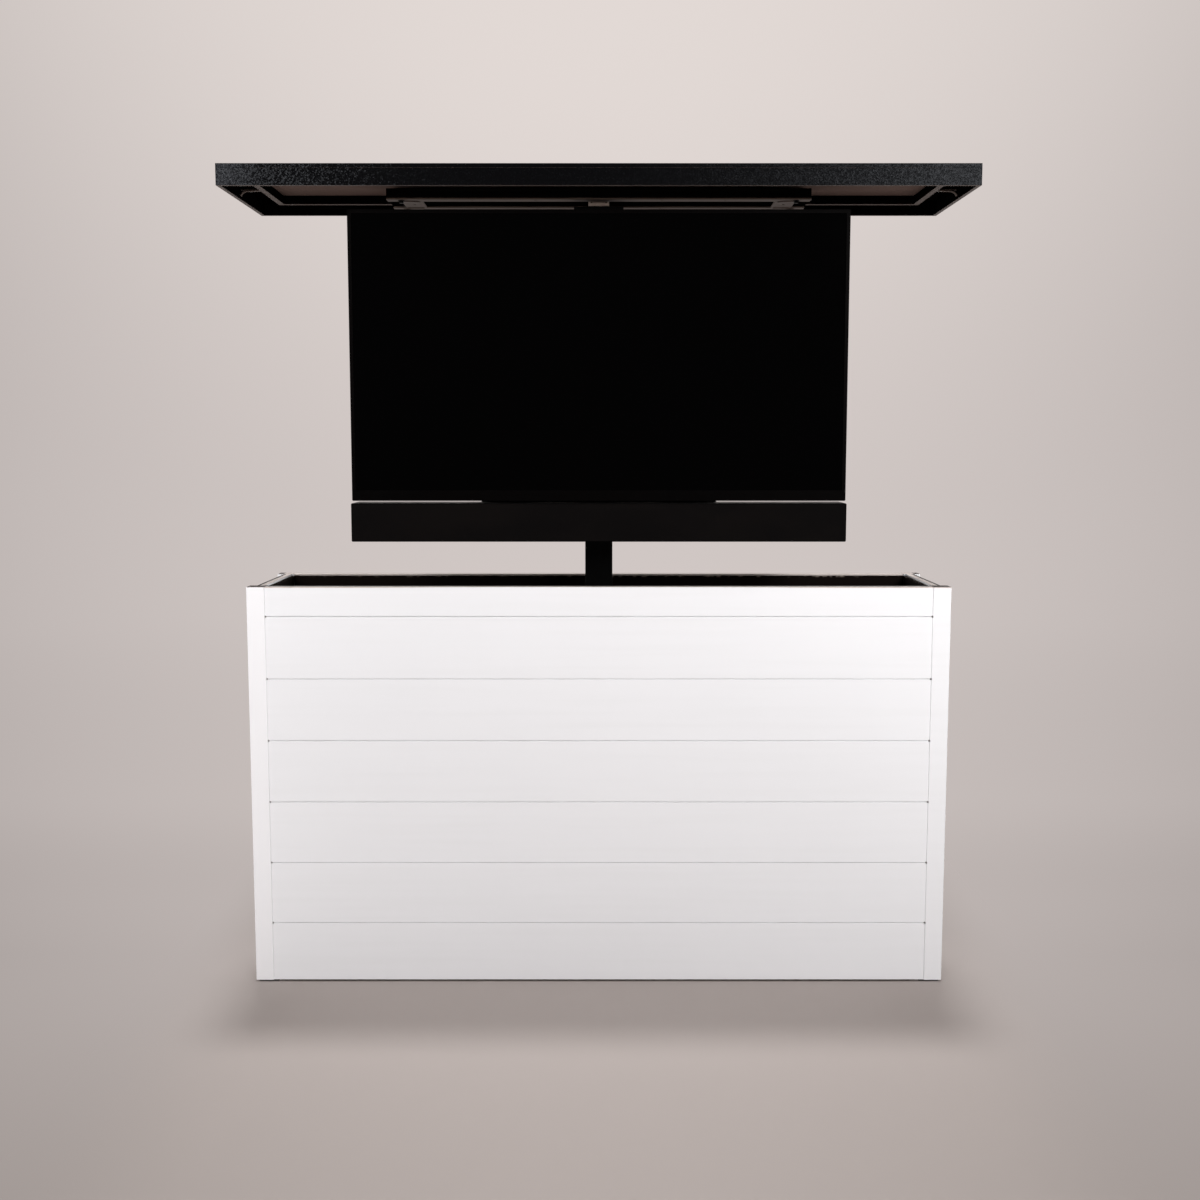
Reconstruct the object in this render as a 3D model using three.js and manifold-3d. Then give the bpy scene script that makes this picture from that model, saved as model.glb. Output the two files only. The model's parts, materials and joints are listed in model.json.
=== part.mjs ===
// A white planked cabinet whose telescoping column raises a television, a soundbar and the whole lid.
// Millimetres. X runs across the front, -Y is the front and +Z is up, from the floor under the centre.
// Everything that moves is placed as it lies when lowered, and its group then raises it by the travel.

import Module from "manifold-3d";
import * as THREE from "three";
import { mergeVertices } from "three/addons/utils/BufferGeometryUtils.js";

// Cabinet
const CABINET_WIDTH = 1706;
const CABINET_DEPTH = 388;
const CABINET_HEIGHT = 988;
const FOOT_HEIGHT = 5;
const FOOT_SIDE = 50;
const FOOT_INSET = 6;
const POST_SIDE = 44;
const POST_EDGE_RADIUS = 2;

// Boards of the front, with the sides and the back set further in behind the posts
const FRONT_SETBACK = 2;
const SIDE_SETBACK = 17;
const PLANK_THICKNESS = 20;
const PLANK_COUNT = 5;
const TOP_RAIL_HEIGHT = 72;
const BOTTOM_PLANK_HEIGHT = 146;
const GROOVE_WIDTH = 1.5;
const GROOVE_DEPTH = 3;
const PLANK_CORNER_RADIUS = 5;
const PLANK_BEVEL = 0.5;
const BATTEN_WIDTH = 60;
const LINER_THICKNESS = 6;
const LINER_TOP_DROP = 4;
const FLOOR_THICKNESS = 18;
const FLOOR_RAISE = 10;
const CABLE_HOLE_WIDTH = 80;
const CABLE_HOLE_HEIGHT = 40;
const CABLE_HOLE_X = 290;
const CABLE_HOLE_ABOVE_FLOOR = 27;

// Lift: a gearbox on a base plate, a column of three square tubes and one drive screw
const STAGE_TRAVEL = 479;
const COLUMN_Y = 23;
const INNER_TUBE_SIDE = 62;
const INNER_WALL = 3;
const MIDDLE_WALL = 3;
const OUTER_WALL = 2.5;
const TUBE_GAP = 0.5;
const GLIDE_HEIGHT = 10;
const GLIDE_FLANGE = 2;
const RUNNING_GAP = 0.3;
const STOP_GAP = 2;
const BASE_PLATE_THICKNESS = 8;
const BASE_PLATE_MARGIN = 25;
const GEARBOX_HEIGHT = 40;
const GEARBOX_MARGIN = 8;
const GEARBOX_EDGE_RADIUS = 6;
const MOTOR_RADIUS = 30;
const MOTOR_LENGTH = 150;
const MOTOR_X = 105;
const SCREW_RADIUS = 8;
const SCREW_END = 16;
const NUT_HEIGHT = 20;
const NUT_RAISE = 9;
const NUT_CLEARANCE = 6;
const BRACE_WIDTH = 60;
const BRACE_WALL = 4;
const BRACE_HEIGHT = 40;
const BRACE_BELOW_TOP = 70;
const CONTROL_BOX_LENGTH = 140;
const CONTROL_BOX_DEPTH = 100;
const CONTROL_BOX_HEIGHT = 45;
const CONTROL_BOX_FROM_SIDE = 169;
const CONTROL_BOX_EDGE_RADIUS = 6;

// Lid: a shallow tray that drops over the top of the cabinet, with a seal frame that lands on the rim
const LID_OVERHANG = 36;
const LID_HEIGHT = 50;
const LID_TOP_THICKNESS = 10;
const LID_SKIRT_THICKNESS = 10;
const LID_REST_GAP = 1;
const SEAL_SETBACK = 18;
const SEAL_WIDTH = 16;
const SEAL_OFFSET = 4;
const SEAL_TAB_WIDTH = 16;
const SEAL_TAB_THICKNESS = 4;
const SEAL_TAB_RAISE = 4;
const SEAL_TAB_Y = -30;

// Lid support: a stepped bearer under the lid, two flat rails and the plates between them
const BEAM_LENGTH = 1038;
const BEAM_HEIGHT = 40;
const BEAM_STEP_HEIGHT = 23;
const BEAM_RISER_DEPTH = 58;
const RAIL_WIDTH = 34;
const RAIL_GAP = 91;
const RAIL_THICKNESS = 4;
const CLAMP_WIDTH = 51;
const CLAMP_INSET = 34;
const CLAMP_HOLE_RADIUS = 4;
const HEAD_BLOCK_HEIGHT = 8;

// Television and its bracket
const TV_WIDTH = 1212;
const TV_HEIGHT = 700;
const TV_DEPTH = 66;
const TV_TOP_DROP = 24;
const TV_SIDE_BORDER = 9;
const TV_BOTTOM_BORDER = 26;
const TV_CORNER_RADIUS = 3;
const BEZEL_DEPTH = 12;
const SCREEN_RECESS = 2;
const TV_REAR_INSET = 2;
const TV_SLIM_DEPTH = 20;
const TV_BULGE_WIDTH = 760;
const TV_BULGE_HEIGHT = 400;
const TV_SHELL = 3;
const HANGER_WIDTH = 122;
const HANGER_THICKNESS = 6;
const HANGER_CLEARANCE = 3.5;
const HANGER_TOP_DROP = 4;
const HANGER_HOOK_HEIGHT = 18;
const MOUNT_PLATE_WIDTH = 480;
const MOUNT_PLATE_HEIGHT = 240;
const MOUNT_PLATE_THICKNESS = 4;
const ARM_SPACING = 400;
const ARM_WIDTH = 40;
const ARM_DEPTH = 16;
const ARM_LENGTH = 460;

// Soundbar and its bracket
const SOUNDBAR_WIDTH = 1210;
const SOUNDBAR_HEIGHT = 94;
const SOUNDBAR_DEPTH = 110;
const SOUNDBAR_TV_GAP = 5;
const SOUNDBAR_SHELL = 4;
const SOUNDBAR_CORNER_RADIUS = 3;
const GRILLE_THICKNESS = 4;
const GRILLE_INSET = 2;
const SOUNDBAR_BRACKET_WIDTH = 590;
const SOUNDBAR_BRACKET_THICKNESS = 4;
const SOUNDBAR_BRACKET_RAISE = 14;
const SOUNDBAR_BRACKET_LAP = 190;

const CUT_OVERRUN = 5;
const ARC_STEPS = 5;
const ROUND_STEPS = 32;

// Planes and levels that several pieces share
const halfWidth = CABINET_WIDTH / 2;
const halfDepth = CABINET_DEPTH / 2;
const bayHalfWidth = halfWidth - POST_SIDE;
const bayHalfDepth = halfDepth - POST_SIDE;
const boardFrontY = -halfDepth + FRONT_SETBACK;
const boardBackY = -bayHalfDepth - LINER_THICKNESS;
const floorBottom = FOOT_HEIGHT + FLOOR_RAISE;
const floorTop = floorBottom + FLOOR_THICKNESS;
const firstGroove = FOOT_HEIGHT + BOTTOM_PLANK_HEIGHT;
const lastGroove = CABINET_HEIGHT - TOP_RAIL_HEIGHT;
const plankPitch = (lastGroove - firstGroove) / PLANK_COUNT;
const linerTop = CABINET_HEIGHT - LINER_TOP_DROP;

const lidBottom = CABINET_HEIGHT + LID_REST_GAP - SEAL_SETBACK;
const lidTop = lidBottom + LID_HEIGHT;
const lidCeiling = lidTop - LID_TOP_THICKNESS;
const lidHalfWidth = halfWidth + LID_OVERHANG;
const lidHalfDepth = halfDepth + LID_OVERHANG;
const beamBottom = lidCeiling - BEAM_HEIGHT;
const railBottom = beamBottom - RAIL_THICKNESS;
const railInnerFrontY = COLUMN_Y - RAIL_GAP / 2;
const railInnerBackY = COLUMN_Y + RAIL_GAP / 2;

const middleTubeSide = INNER_TUBE_SIDE + 2 * (TUBE_GAP + MIDDLE_WALL);
const outerTubeSide = middleTubeSide + 2 * (TUBE_GAP + OUTER_WALL);
const glideSide = outerTubeSide + 2 * GLIDE_FLANGE;
const gearboxTop = floorTop + BASE_PLATE_THICKNESS + GEARBOX_HEIGHT;
const innerTubeTop = railBottom - HEAD_BLOCK_HEIGHT;
const hangerTop = innerTubeTop - HANGER_TOP_DROP;
const middleTubeTop = hangerTop - HANGER_HOOK_HEIGHT - STOP_GAP - GLIDE_HEIGHT;
const outerTubeTop = middleTubeTop - STOP_GAP - GLIDE_HEIGHT;
const middleTubeBottom = gearboxTop + NUT_RAISE;
const innerTubeBottom = middleTubeBottom + NUT_HEIGHT + NUT_CLEARANCE;

const hangerBackY = COLUMN_Y - glideSide / 2 - HANGER_CLEARANCE;
const hangerFrontY = hangerBackY - HANGER_THICKNESS;
const armBackY = hangerFrontY - MOUNT_PLATE_THICKNESS;
const tvBackY = armBackY - ARM_DEPTH;
const tvFrontY = tvBackY - TV_DEPTH;
const bezelBackY = tvFrontY + BEZEL_DEPTH;
const tvTop = innerTubeTop - TV_TOP_DROP;
const tvBottom = tvTop - TV_HEIGHT;
const tvMiddle = tvBottom + TV_HEIGHT / 2;
const soundbarTop = tvBottom - SOUNDBAR_TV_GAP;
const soundbarBottom = soundbarTop - SOUNDBAR_HEIGHT;
const soundbarFrontY = armBackY - SOUNDBAR_DEPTH;

// Finishes
function finish(color, roughness, metalness) {
  return new THREE.MeshStandardMaterial({ color, roughness, metalness });
}
const whitePaint = finish(0xf2f0ee, 0.45, 0);
const darkLiner = finish(0x161413, 0.85, 0);
const lidCoating = finish(0x1c1b1c, 0.7, 0);
const sealFoam = finish(0x54483f, 0.8, 0);
const blackSteel = finish(0x0a0a0a, 0.45, 0.6);
const blackAluminium = finish(0x0b0b0c, 0.5, 0.6);
const blackBearer = finish(0x080707, 0.6, 0);
const blackPlastic = finish(0x0d0c0c, 0.4, 0);
const zincSteel = finish(0x6a6058, 0.4, 0.9);
const screwSteel = finish(0x8d8d8d, 0.3, 1);
const glideNylon = finish(0x1a1a1a, 0.6, 0);
const screenGlass = finish(0x030303, 0.08, 0);
const speakerCloth = finish(0x100e0d, 0.9, 0);
const footRubber = finish(0x0c0b0a, 0.9, 0);

// Solids: closed meshes joined and cut as manifolds
const wasm = await Module();
wasm.setup();

function toManifold(geometry) {
  const bare = geometry.index ? geometry.toNonIndexed() : geometry.clone();
  for (const key of Object.keys(bare.attributes)) {
    if (key !== "position") bare.deleteAttribute(key);
  }
  const merged = mergeVertices(bare);
  const vertProperties = new Float32Array(merged.attributes.position.array);
  const triVerts = new Uint32Array(merged.index.array);
  return new wasm.Manifold(new wasm.Mesh({ numProp: 3, vertProperties, triVerts }));
}

function toGeometry(manifold) {
  const mesh = manifold.getMesh();
  const geometry = new THREE.BufferGeometry();
  geometry.setAttribute("position", new THREE.BufferAttribute(new Float32Array(mesh.vertProperties), 3));
  geometry.setIndex(new THREE.BufferAttribute(new Uint32Array(mesh.triVerts), 1));
  geometry.computeVertexNormals();
  return geometry;
}

function joined(...geometries) {
  const first = toManifold(geometries[0]);
  return toGeometry(geometries.slice(1).reduce((solid, next) => solid.add(toManifold(next)), first));
}

function cut(geometry, ...tools) {
  return toGeometry(tools.reduce((solid, tool) => solid.subtract(toManifold(tool)), toManifold(geometry)));
}

// A box between two planes on each axis
function boxBetween([x0, x1], [y0, y1], [z0, z1]) {
  const geometry = new THREE.BoxGeometry(x1 - x0, y1 - y0, z1 - z0);
  return geometry.translate((x0 + x1) / 2, (y0 + y1) / 2, (z0 + z1) / 2);
}

function centred(middle, size) {
  return [middle - size / 2, middle + size / 2];
}

// A rectangle whose lower and upper corners have their own radii, and are square where the radius is zero
function roundedRectangle([x0, x1], [y0, y1], lowerRadius, upperRadius) {
  const quarter = Math.PI / 2;
  const corners = [
    [x1 - lowerRadius, y0 + lowerRadius, lowerRadius, -quarter],
    [x1 - upperRadius, y1 - upperRadius, upperRadius, 0],
    [x0 + upperRadius, y1 - upperRadius, upperRadius, quarter],
    [x0 + lowerRadius, y0 + lowerRadius, lowerRadius, 2 * quarter],
  ];
  const points = [];
  for (const [x, y, radius, start] of corners) {
    const steps = radius > 0 ? ARC_STEPS : 0;
    for (let step = 0; step <= steps; step += 1) {
      const angle = start + (quarter * step) / ARC_STEPS;
      points.push(new THREE.Vector2(x + radius * Math.cos(angle), y + radius * Math.sin(angle)));
    }
  }
  return new THREE.Shape(points);
}

function polygon(points) {
  return new THREE.Shape(points.map(([x, y]) => new THREE.Vector2(x, y)));
}

// Outlines drawn in X and Y stand up along Z
function alongZ(shape, [z0, z1]) {
  const options = { depth: z1 - z0, bevelEnabled: false };
  return new THREE.ExtrudeGeometry(shape, options).translate(0, 0, z0);
}

// Outlines drawn in X and Z run back along Y, with an optional bevel at both ends
function alongY(shape, [y0, y1], bevel = 0) {
  const options = {
    depth: y1 - y0 - 2 * bevel,
    bevelEnabled: bevel > 0,
    bevelThickness: bevel,
    bevelSize: bevel,
    bevelOffset: -bevel,
    bevelSegments: 1,
  };
  return new THREE.ExtrudeGeometry(shape, options).rotateX(Math.PI / 2).translate(0, y1 - bevel, 0);
}

// Outlines drawn in Y and Z run across along X
function alongX(shape, [x0, x1]) {
  const options = { depth: x1 - x0, bevelEnabled: false };
  return new THREE.ExtrudeGeometry(shape, options)
    .rotateX(Math.PI / 2)
    .rotateZ(Math.PI / 2)
    .translate(x0, 0, 0);
}

function uprightCylinder(radius, [z0, z1], x, y) {
  const geometry = new THREE.CylinderGeometry(radius, radius, z1 - z0, ROUND_STEPS);
  return geometry.rotateX(Math.PI / 2).translate(x, y, (z0 + z1) / 2);
}

// Each piece keeps its geometry about its own centre and is placed by its position
function addPiece(group, name, geometry, material) {
  geometry.computeBoundingBox();
  const centre = geometry.boundingBox.getCenter(new THREE.Vector3());
  const mesh = new THREE.Mesh(geometry.translate(-centre.x, -centre.y, -centre.z), material);
  mesh.name = name;
  mesh.position.copy(centre);
  group.add(mesh);
}

const sides = [
  ["left", -1],
  ["right", 1],
];
const ends = [
  ["front", -1],
  ["back", 1],
];

function span(sign, near, far) {
  return sign < 0 ? [-far, -near] : [near, far];
}

function addPostsAndFeet(group) {
  for (const [endName, endSign] of ends) {
    for (const [sideName, sideSign] of sides) {
      const postX = span(sideSign, bayHalfWidth, halfWidth);
      const postY = span(endSign, bayHalfDepth, halfDepth);
      const outline = roundedRectangle(postX, postY, POST_EDGE_RADIUS, POST_EDGE_RADIUS);
      const post = alongZ(outline, [FOOT_HEIGHT, CABINET_HEIGHT]);
      addPiece(group, `corner_post_${endName}_${sideName}`, post, whitePaint);
      const footX = span(sideSign, halfWidth - FOOT_INSET - FOOT_SIDE, halfWidth - FOOT_INSET);
      const footY = span(endSign, halfDepth - FOOT_INSET - FOOT_SIDE, halfDepth - FOOT_INSET);
      const foot = boxBetween(footX, footY, [0, FOOT_HEIGHT]);
      addPiece(group, `foot_${endName}_${sideName}`, foot, footRubber);
    }
  }
}

// A plank's face stops short of the grooves, and its tongue closes the groove above it from behind
function frontPlank([z0, z1], backY, hasTongue, upperRadius) {
  const ownX = [-bayHalfWidth, bayHalfWidth];
  const outline = roundedRectangle(ownX, [z0, z1], 0, upperRadius);
  const face = alongY(outline, [boardFrontY, backY], PLANK_BEVEL);
  const tongueTop = hasTongue ? z1 + GROOVE_WIDTH : z1;
  return joined(face, boxBetween(ownX, [boardFrontY + GROOVE_DEPTH, backY], [z0, tongueTop]));
}

function addFront(group) {
  const halfGroove = GROOVE_WIDTH / 2;
  const plankBackY = boardFrontY + PLANK_THICKNESS;
  for (let index = 0; index < PLANK_COUNT; index += 1) {
    const level = firstGroove + index * plankPitch;
    const plankZ = [level + halfGroove, level + plankPitch - halfGroove];
    const plank = frontPlank(plankZ, plankBackY, true, PLANK_CORNER_RADIUS);
    addPiece(group, `front_plank_${index + 1}`, plank, whitePaint);
  }
  const bottomZ = [FOOT_HEIGHT, firstGroove - halfGroove];
  const bottomPlank = frontPlank(bottomZ, boardBackY, true, PLANK_CORNER_RADIUS);
  addPiece(group, "front_bottom_plank", bottomPlank, whitePaint);
  const topZ = [lastGroove + halfGroove, CABINET_HEIGHT];
  addPiece(group, "front_top_rail", frontPlank(topZ, boardBackY, false, 0), whitePaint);
  const battenZ = [firstGroove + halfGroove, lastGroove + halfGroove];
  const batten = boxBetween(centred(0, BATTEN_WIDTH), [plankBackY, boardBackY], battenZ);
  addPiece(group, "front_batten", batten, whitePaint);
}

// The outline of a board with grooves in its outer face: x runs in from that face, y is the height
function groovedOutline(thickness, [z0, z1], grooveLevels, tongueTop) {
  const halfGroove = GROOVE_WIDTH / 2;
  const points = [[thickness, z0], [0, z0]];
  for (const level of grooveLevels) {
    points.push([0, level - halfGroove], [GROOVE_DEPTH, level - halfGroove]);
    points.push([GROOVE_DEPTH, level + halfGroove], [0, level + halfGroove]);
  }
  points.push([0, z1], [GROOVE_DEPTH, z1], [GROOVE_DEPTH, tongueTop], [thickness, tongueTop]);
  return points.filter(([x, y], i) => i === 0 || x !== points[i - 1][0] || y !== points[i - 1][1]);
}

function grooveLevels() {
  return Array.from({ length: PLANK_COUNT + 1 }, (_, index) => firstGroove + index * plankPitch);
}

const panelOuter = POST_SIDE - SIDE_SETBACK;
const panelThickness = panelOuter - LINER_THICKNESS;

function addSidePanels(group) {
  const panelZ = [FOOT_HEIGHT, CABINET_HEIGHT];
  const outline = groovedOutline(panelThickness, panelZ, grooveLevels(), CABINET_HEIGHT);
  for (const [name, sign] of sides) {
    const faceX = sign * (bayHalfWidth + panelOuter);
    const drawn = polygon(outline.map(([inward, z]) => [faceX - sign * inward, z]));
    const panel = alongY(drawn, [-bayHalfDepth, bayHalfDepth]);
    addPiece(group, `${name}_side_panel`, panel, whitePaint);
  }
}

// The back comes apart in three: a fixed rail at the top and the bottom, and the access panel between them
function backBoard(z, levels, tongueTop) {
  const faceY = bayHalfDepth + panelOuter;
  const outline = groovedOutline(panelThickness, z, levels, tongueTop);
  const drawn = polygon(outline.map(([inward, height]) => [faceY - inward, height]));
  return alongX(drawn, [-bayHalfWidth, bayHalfWidth]);
}

function addBack(group) {
  const halfGroove = GROOVE_WIDTH / 2;
  const levels = grooveLevels();
  const bottomTop = firstGroove - halfGroove;
  const holeBottom = floorTop + CABLE_HOLE_ABOVE_FLOOR;
  const cableHole = boxBetween(
    centred(CABLE_HOLE_X, CABLE_HOLE_WIDTH),
    [bayHalfDepth + LINER_THICKNESS - CUT_OVERRUN, halfDepth + CUT_OVERRUN],
    [holeBottom, holeBottom + CABLE_HOLE_HEIGHT],
  );
  const bottom = backBoard([FOOT_HEIGHT, bottomTop], [], bottomTop + GROOVE_WIDTH);
  addPiece(group, "back_bottom_rail", cut(bottom, cableHole), whitePaint);
  const panelZ = [firstGroove + halfGroove, lastGroove - halfGroove];
  const panel = backBoard(panelZ, levels.slice(1, -1), lastGroove + halfGroove);
  addPiece(group, "back_access_panel", panel, whitePaint);
  const top = backBoard([lastGroove + halfGroove, CABINET_HEIGHT], [], CABINET_HEIGHT);
  addPiece(group, "back_top_rail", top, whitePaint);
}

function addLinersAndFloor(group) {
  for (const [name, sign] of ends) {
    const bottom = sign < 0 ? floorTop : firstGroove + GROOVE_WIDTH / 2;
    const linerY = span(sign, bayHalfDepth, bayHalfDepth + LINER_THICKNESS);
    addPiece(
      group,
      `${name}_liner`,
      boxBetween([-bayHalfWidth, bayHalfWidth], linerY, [bottom, linerTop]),
      darkLiner,
    );
  }
  for (const [name, sign] of sides) {
    const linerX = span(sign, bayHalfWidth, bayHalfWidth + LINER_THICKNESS);
    const liner = boxBetween(linerX, [-bayHalfDepth, bayHalfDepth], [floorBottom, linerTop]);
    addPiece(group, `${name}_liner`, liner, darkLiner);
  }
  const floorX = [-bayHalfWidth, bayHalfWidth];
  const floor = boxBetween(floorX, [boardBackY, -boardBackY], [floorBottom, floorTop]);
  addPiece(group, "floor_panel", floor, darkLiner);
}

// A square tube or a square ring about the column's centre line
function squareTube(side, bore, z) {
  const solid = boxBetween(centred(0, side), centred(COLUMN_Y, side), z);
  const through = [z[0] - CUT_OVERRUN, z[1] + CUT_OVERRUN];
  return cut(solid, boxBetween(centred(0, bore), centred(COLUMN_Y, bore), through));
}

function addLiftBase(group) {
  const gearboxX = [-outerTubeSide / 2 - GEARBOX_MARGIN, MOTOR_X + MOTOR_RADIUS + GEARBOX_MARGIN];
  const gearboxY = centred(COLUMN_Y, outerTubeSide + 2 * GEARBOX_MARGIN);
  const plateTop = floorTop + BASE_PLATE_THICKNESS;
  const plateX = [gearboxX[0] - BASE_PLATE_MARGIN, gearboxX[1] + BASE_PLATE_MARGIN];
  const plateY = [gearboxY[0] - BASE_PLATE_MARGIN, gearboxY[1] + BASE_PLATE_MARGIN];
  addPiece(group, "lift_base_plate", boxBetween(plateX, plateY, [floorTop, plateTop]), blackSteel);
  const housing = roundedRectangle(gearboxX, gearboxY, GEARBOX_EDGE_RADIUS, GEARBOX_EDGE_RADIUS);
  addPiece(group, "lift_gearbox", alongZ(housing, [plateTop, gearboxTop]), blackPlastic);
  const motorZ = [gearboxTop, gearboxTop + MOTOR_LENGTH];
  const motor = uprightCylinder(MOTOR_RADIUS, motorZ, MOTOR_X, COLUMN_Y);
  addPiece(group, "lift_motor", motor, blackSteel);
  const boxRight = bayHalfWidth - CONTROL_BOX_FROM_SIDE;
  const boxX = [boxRight - CONTROL_BOX_LENGTH, boxRight];
  const boxY = centred(0, CONTROL_BOX_DEPTH);
  const cover = roundedRectangle(boxX, boxY, CONTROL_BOX_EDGE_RADIUS, CONTROL_BOX_EDGE_RADIUS);
  const coverZ = [floorTop, floorTop + CONTROL_BOX_HEIGHT];
  addPiece(group, "control_box", alongZ(cover, coverZ), blackPlastic);
}

function addOuterColumn(group) {
  const bore = outerTubeSide - 2 * OUTER_WALL;
  const outer = squareTube(outerTubeSide, bore, [gearboxTop, outerTubeTop]);
  addPiece(group, "outer_column", outer, blackSteel);
  const glideZ = [outerTubeTop, outerTubeTop + GLIDE_HEIGHT];
  const glide = squareTube(glideSide, middleTubeSide + 2 * RUNNING_GAP, glideZ);
  addPiece(group, "lower_glide", glide, glideNylon);
  const frontY = COLUMN_Y + outerTubeSide / 2;
  const [left, right] = centred(0, BRACE_WIDTH);
  const channel = polygon([
    [left, frontY],
    [right, frontY],
    [right, bayHalfDepth],
    [right - BRACE_WALL, bayHalfDepth],
    [right - BRACE_WALL, frontY + BRACE_WALL],
    [left + BRACE_WALL, frontY + BRACE_WALL],
    [left + BRACE_WALL, bayHalfDepth],
    [left, bayHalfDepth],
  ]);
  const braceTop = outerTubeTop - BRACE_BELOW_TOP;
  addPiece(group, "column_brace", alongZ(channel, [braceTop - BRACE_HEIGHT, braceTop]), blackSteel);
}

function addDriveScrew(group) {
  const screwTop = middleTubeBottom + STAGE_TRAVEL + NUT_HEIGHT + SCREW_END;
  const screw = uprightCylinder(SCREW_RADIUS, [gearboxTop, screwTop], 0, COLUMN_Y);
  addPiece(group, "drive_screw", screw, screwSteel);
}

function addMiddleStage(group) {
  const bore = middleTubeSide - 2 * MIDDLE_WALL;
  const tube = squareTube(middleTubeSide, bore, [middleTubeBottom, middleTubeTop]);
  addPiece(group, "middle_column", tube, blackSteel);
  const glideZ = [middleTubeTop, middleTubeTop + GLIDE_HEIGHT];
  const glide = squareTube(outerTubeSide, INNER_TUBE_SIDE + 2 * RUNNING_GAP, glideZ);
  addPiece(group, "upper_glide", glide, glideNylon);
  const nutZ = [middleTubeBottom, middleTubeBottom + NUT_HEIGHT];
  const nutSide = bore - 2 * RUNNING_GAP;
  const boreZ = [nutZ[0] - CUT_OVERRUN, nutZ[1] + CUT_OVERRUN];
  const nut = cut(
    boxBetween(centred(0, nutSide), centred(COLUMN_Y, nutSide), nutZ),
    uprightCylinder(SCREW_RADIUS + RUNNING_GAP, boreZ, 0, COLUMN_Y),
  );
  addPiece(group, "drive_nut", nut, glideNylon);
}

function addInnerColumn(group) {
  const bore = INNER_TUBE_SIDE - 2 * INNER_WALL;
  const tube = squareTube(INNER_TUBE_SIDE, bore, [innerTubeBottom, innerTubeTop]);
  addPiece(group, "inner_column", tube, blackSteel);
  const headX = centred(0, CLAMP_WIDTH);
  const plate = boxBetween(headX, [railInnerFrontY, railInnerBackY], [railBottom, beamBottom]);
  const block = boxBetween(headX, centred(COLUMN_Y, INNER_TUBE_SIDE), [innerTubeTop, railBottom]);
  addPiece(group, "head_block", joined(plate, block), zincSteel);
}

function addTelevisionBracket(group) {
  const tubeFrontY = COLUMN_Y - INNER_TUBE_SIDE / 2;
  const hookBottom = hangerTop - HANGER_HOOK_HEIGHT;
  const hangerBottom = tvMiddle - MOUNT_PLATE_HEIGHT / 2;
  const hanger = polygon([
    [hangerFrontY, hangerBottom],
    [hangerBackY, hangerBottom],
    [hangerBackY, hookBottom],
    [tubeFrontY, hookBottom],
    [tubeFrontY, hangerTop],
    [hangerFrontY, hangerTop],
  ]);
  addPiece(group, "tv_hanger", alongX(hanger, centred(0, HANGER_WIDTH)), blackSteel);
  const mountPlate = boxBetween(
    centred(0, MOUNT_PLATE_WIDTH),
    [armBackY, hangerFrontY],
    centred(tvMiddle, MOUNT_PLATE_HEIGHT),
  );
  addPiece(group, "tv_mount_plate", mountPlate, blackSteel);
  for (const [name, sign] of sides) {
    const armX = centred(sign * ARM_SPACING / 2, ARM_WIDTH);
    const arm = boxBetween(armX, [tvBackY, armBackY], centred(tvMiddle, ARM_LENGTH));
    addPiece(group, `tv_arm_${name}`, arm, blackAluminium);
  }
}

function addTelevision(group) {
  const tvX = centred(0, TV_WIDTH);
  const tvZ = [tvBottom, tvTop];
  const screenX = [tvX[0] + TV_SIDE_BORDER, tvX[1] - TV_SIDE_BORDER];
  const screenZ = [tvBottom + TV_BOTTOM_BORDER, tvTop - TV_SIDE_BORDER];
  const outline = roundedRectangle(tvX, tvZ, TV_CORNER_RADIUS, TV_CORNER_RADIUS);
  const rim = alongY(outline, [tvFrontY, bezelBackY]);
  const window = boxBetween(screenX, [tvFrontY - CUT_OVERRUN, bezelBackY + CUT_OVERRUN], screenZ);
  addPiece(group, "tv_bezel", cut(rim, window), blackPlastic);
  const screen = boxBetween(screenX, [tvFrontY + SCREEN_RECESS, bezelBackY], screenZ);
  addPiece(group, "tv_screen", screen, screenGlass);

  const slimBackY = bezelBackY + TV_SLIM_DEPTH;
  const slimX = [tvX[0] + TV_REAR_INSET, tvX[1] - TV_REAR_INSET];
  const slimZ = [tvBottom + TV_REAR_INSET, tvTop - TV_REAR_INSET];
  const bulgeX = centred(0, TV_BULGE_WIDTH);
  const bulgeZ = centred(tvMiddle, TV_BULGE_HEIGHT);
  const inward = ([low, high]) => [low + TV_SHELL, high - TV_SHELL];
  const shell = joined(
    boxBetween(slimX, [bezelBackY, slimBackY], slimZ),
    boxBetween(bulgeX, [bezelBackY, tvBackY], bulgeZ),
  );
  const hollow = joined(
    boxBetween(inward(slimX), [bezelBackY - CUT_OVERRUN, slimBackY - TV_SHELL], inward(slimZ)),
    boxBetween(inward(bulgeX), [bezelBackY - CUT_OVERRUN, tvBackY - TV_SHELL], inward(bulgeZ)),
  );
  addPiece(group, "tv_rear_cover", cut(shell, hollow), blackPlastic);
}

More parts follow.
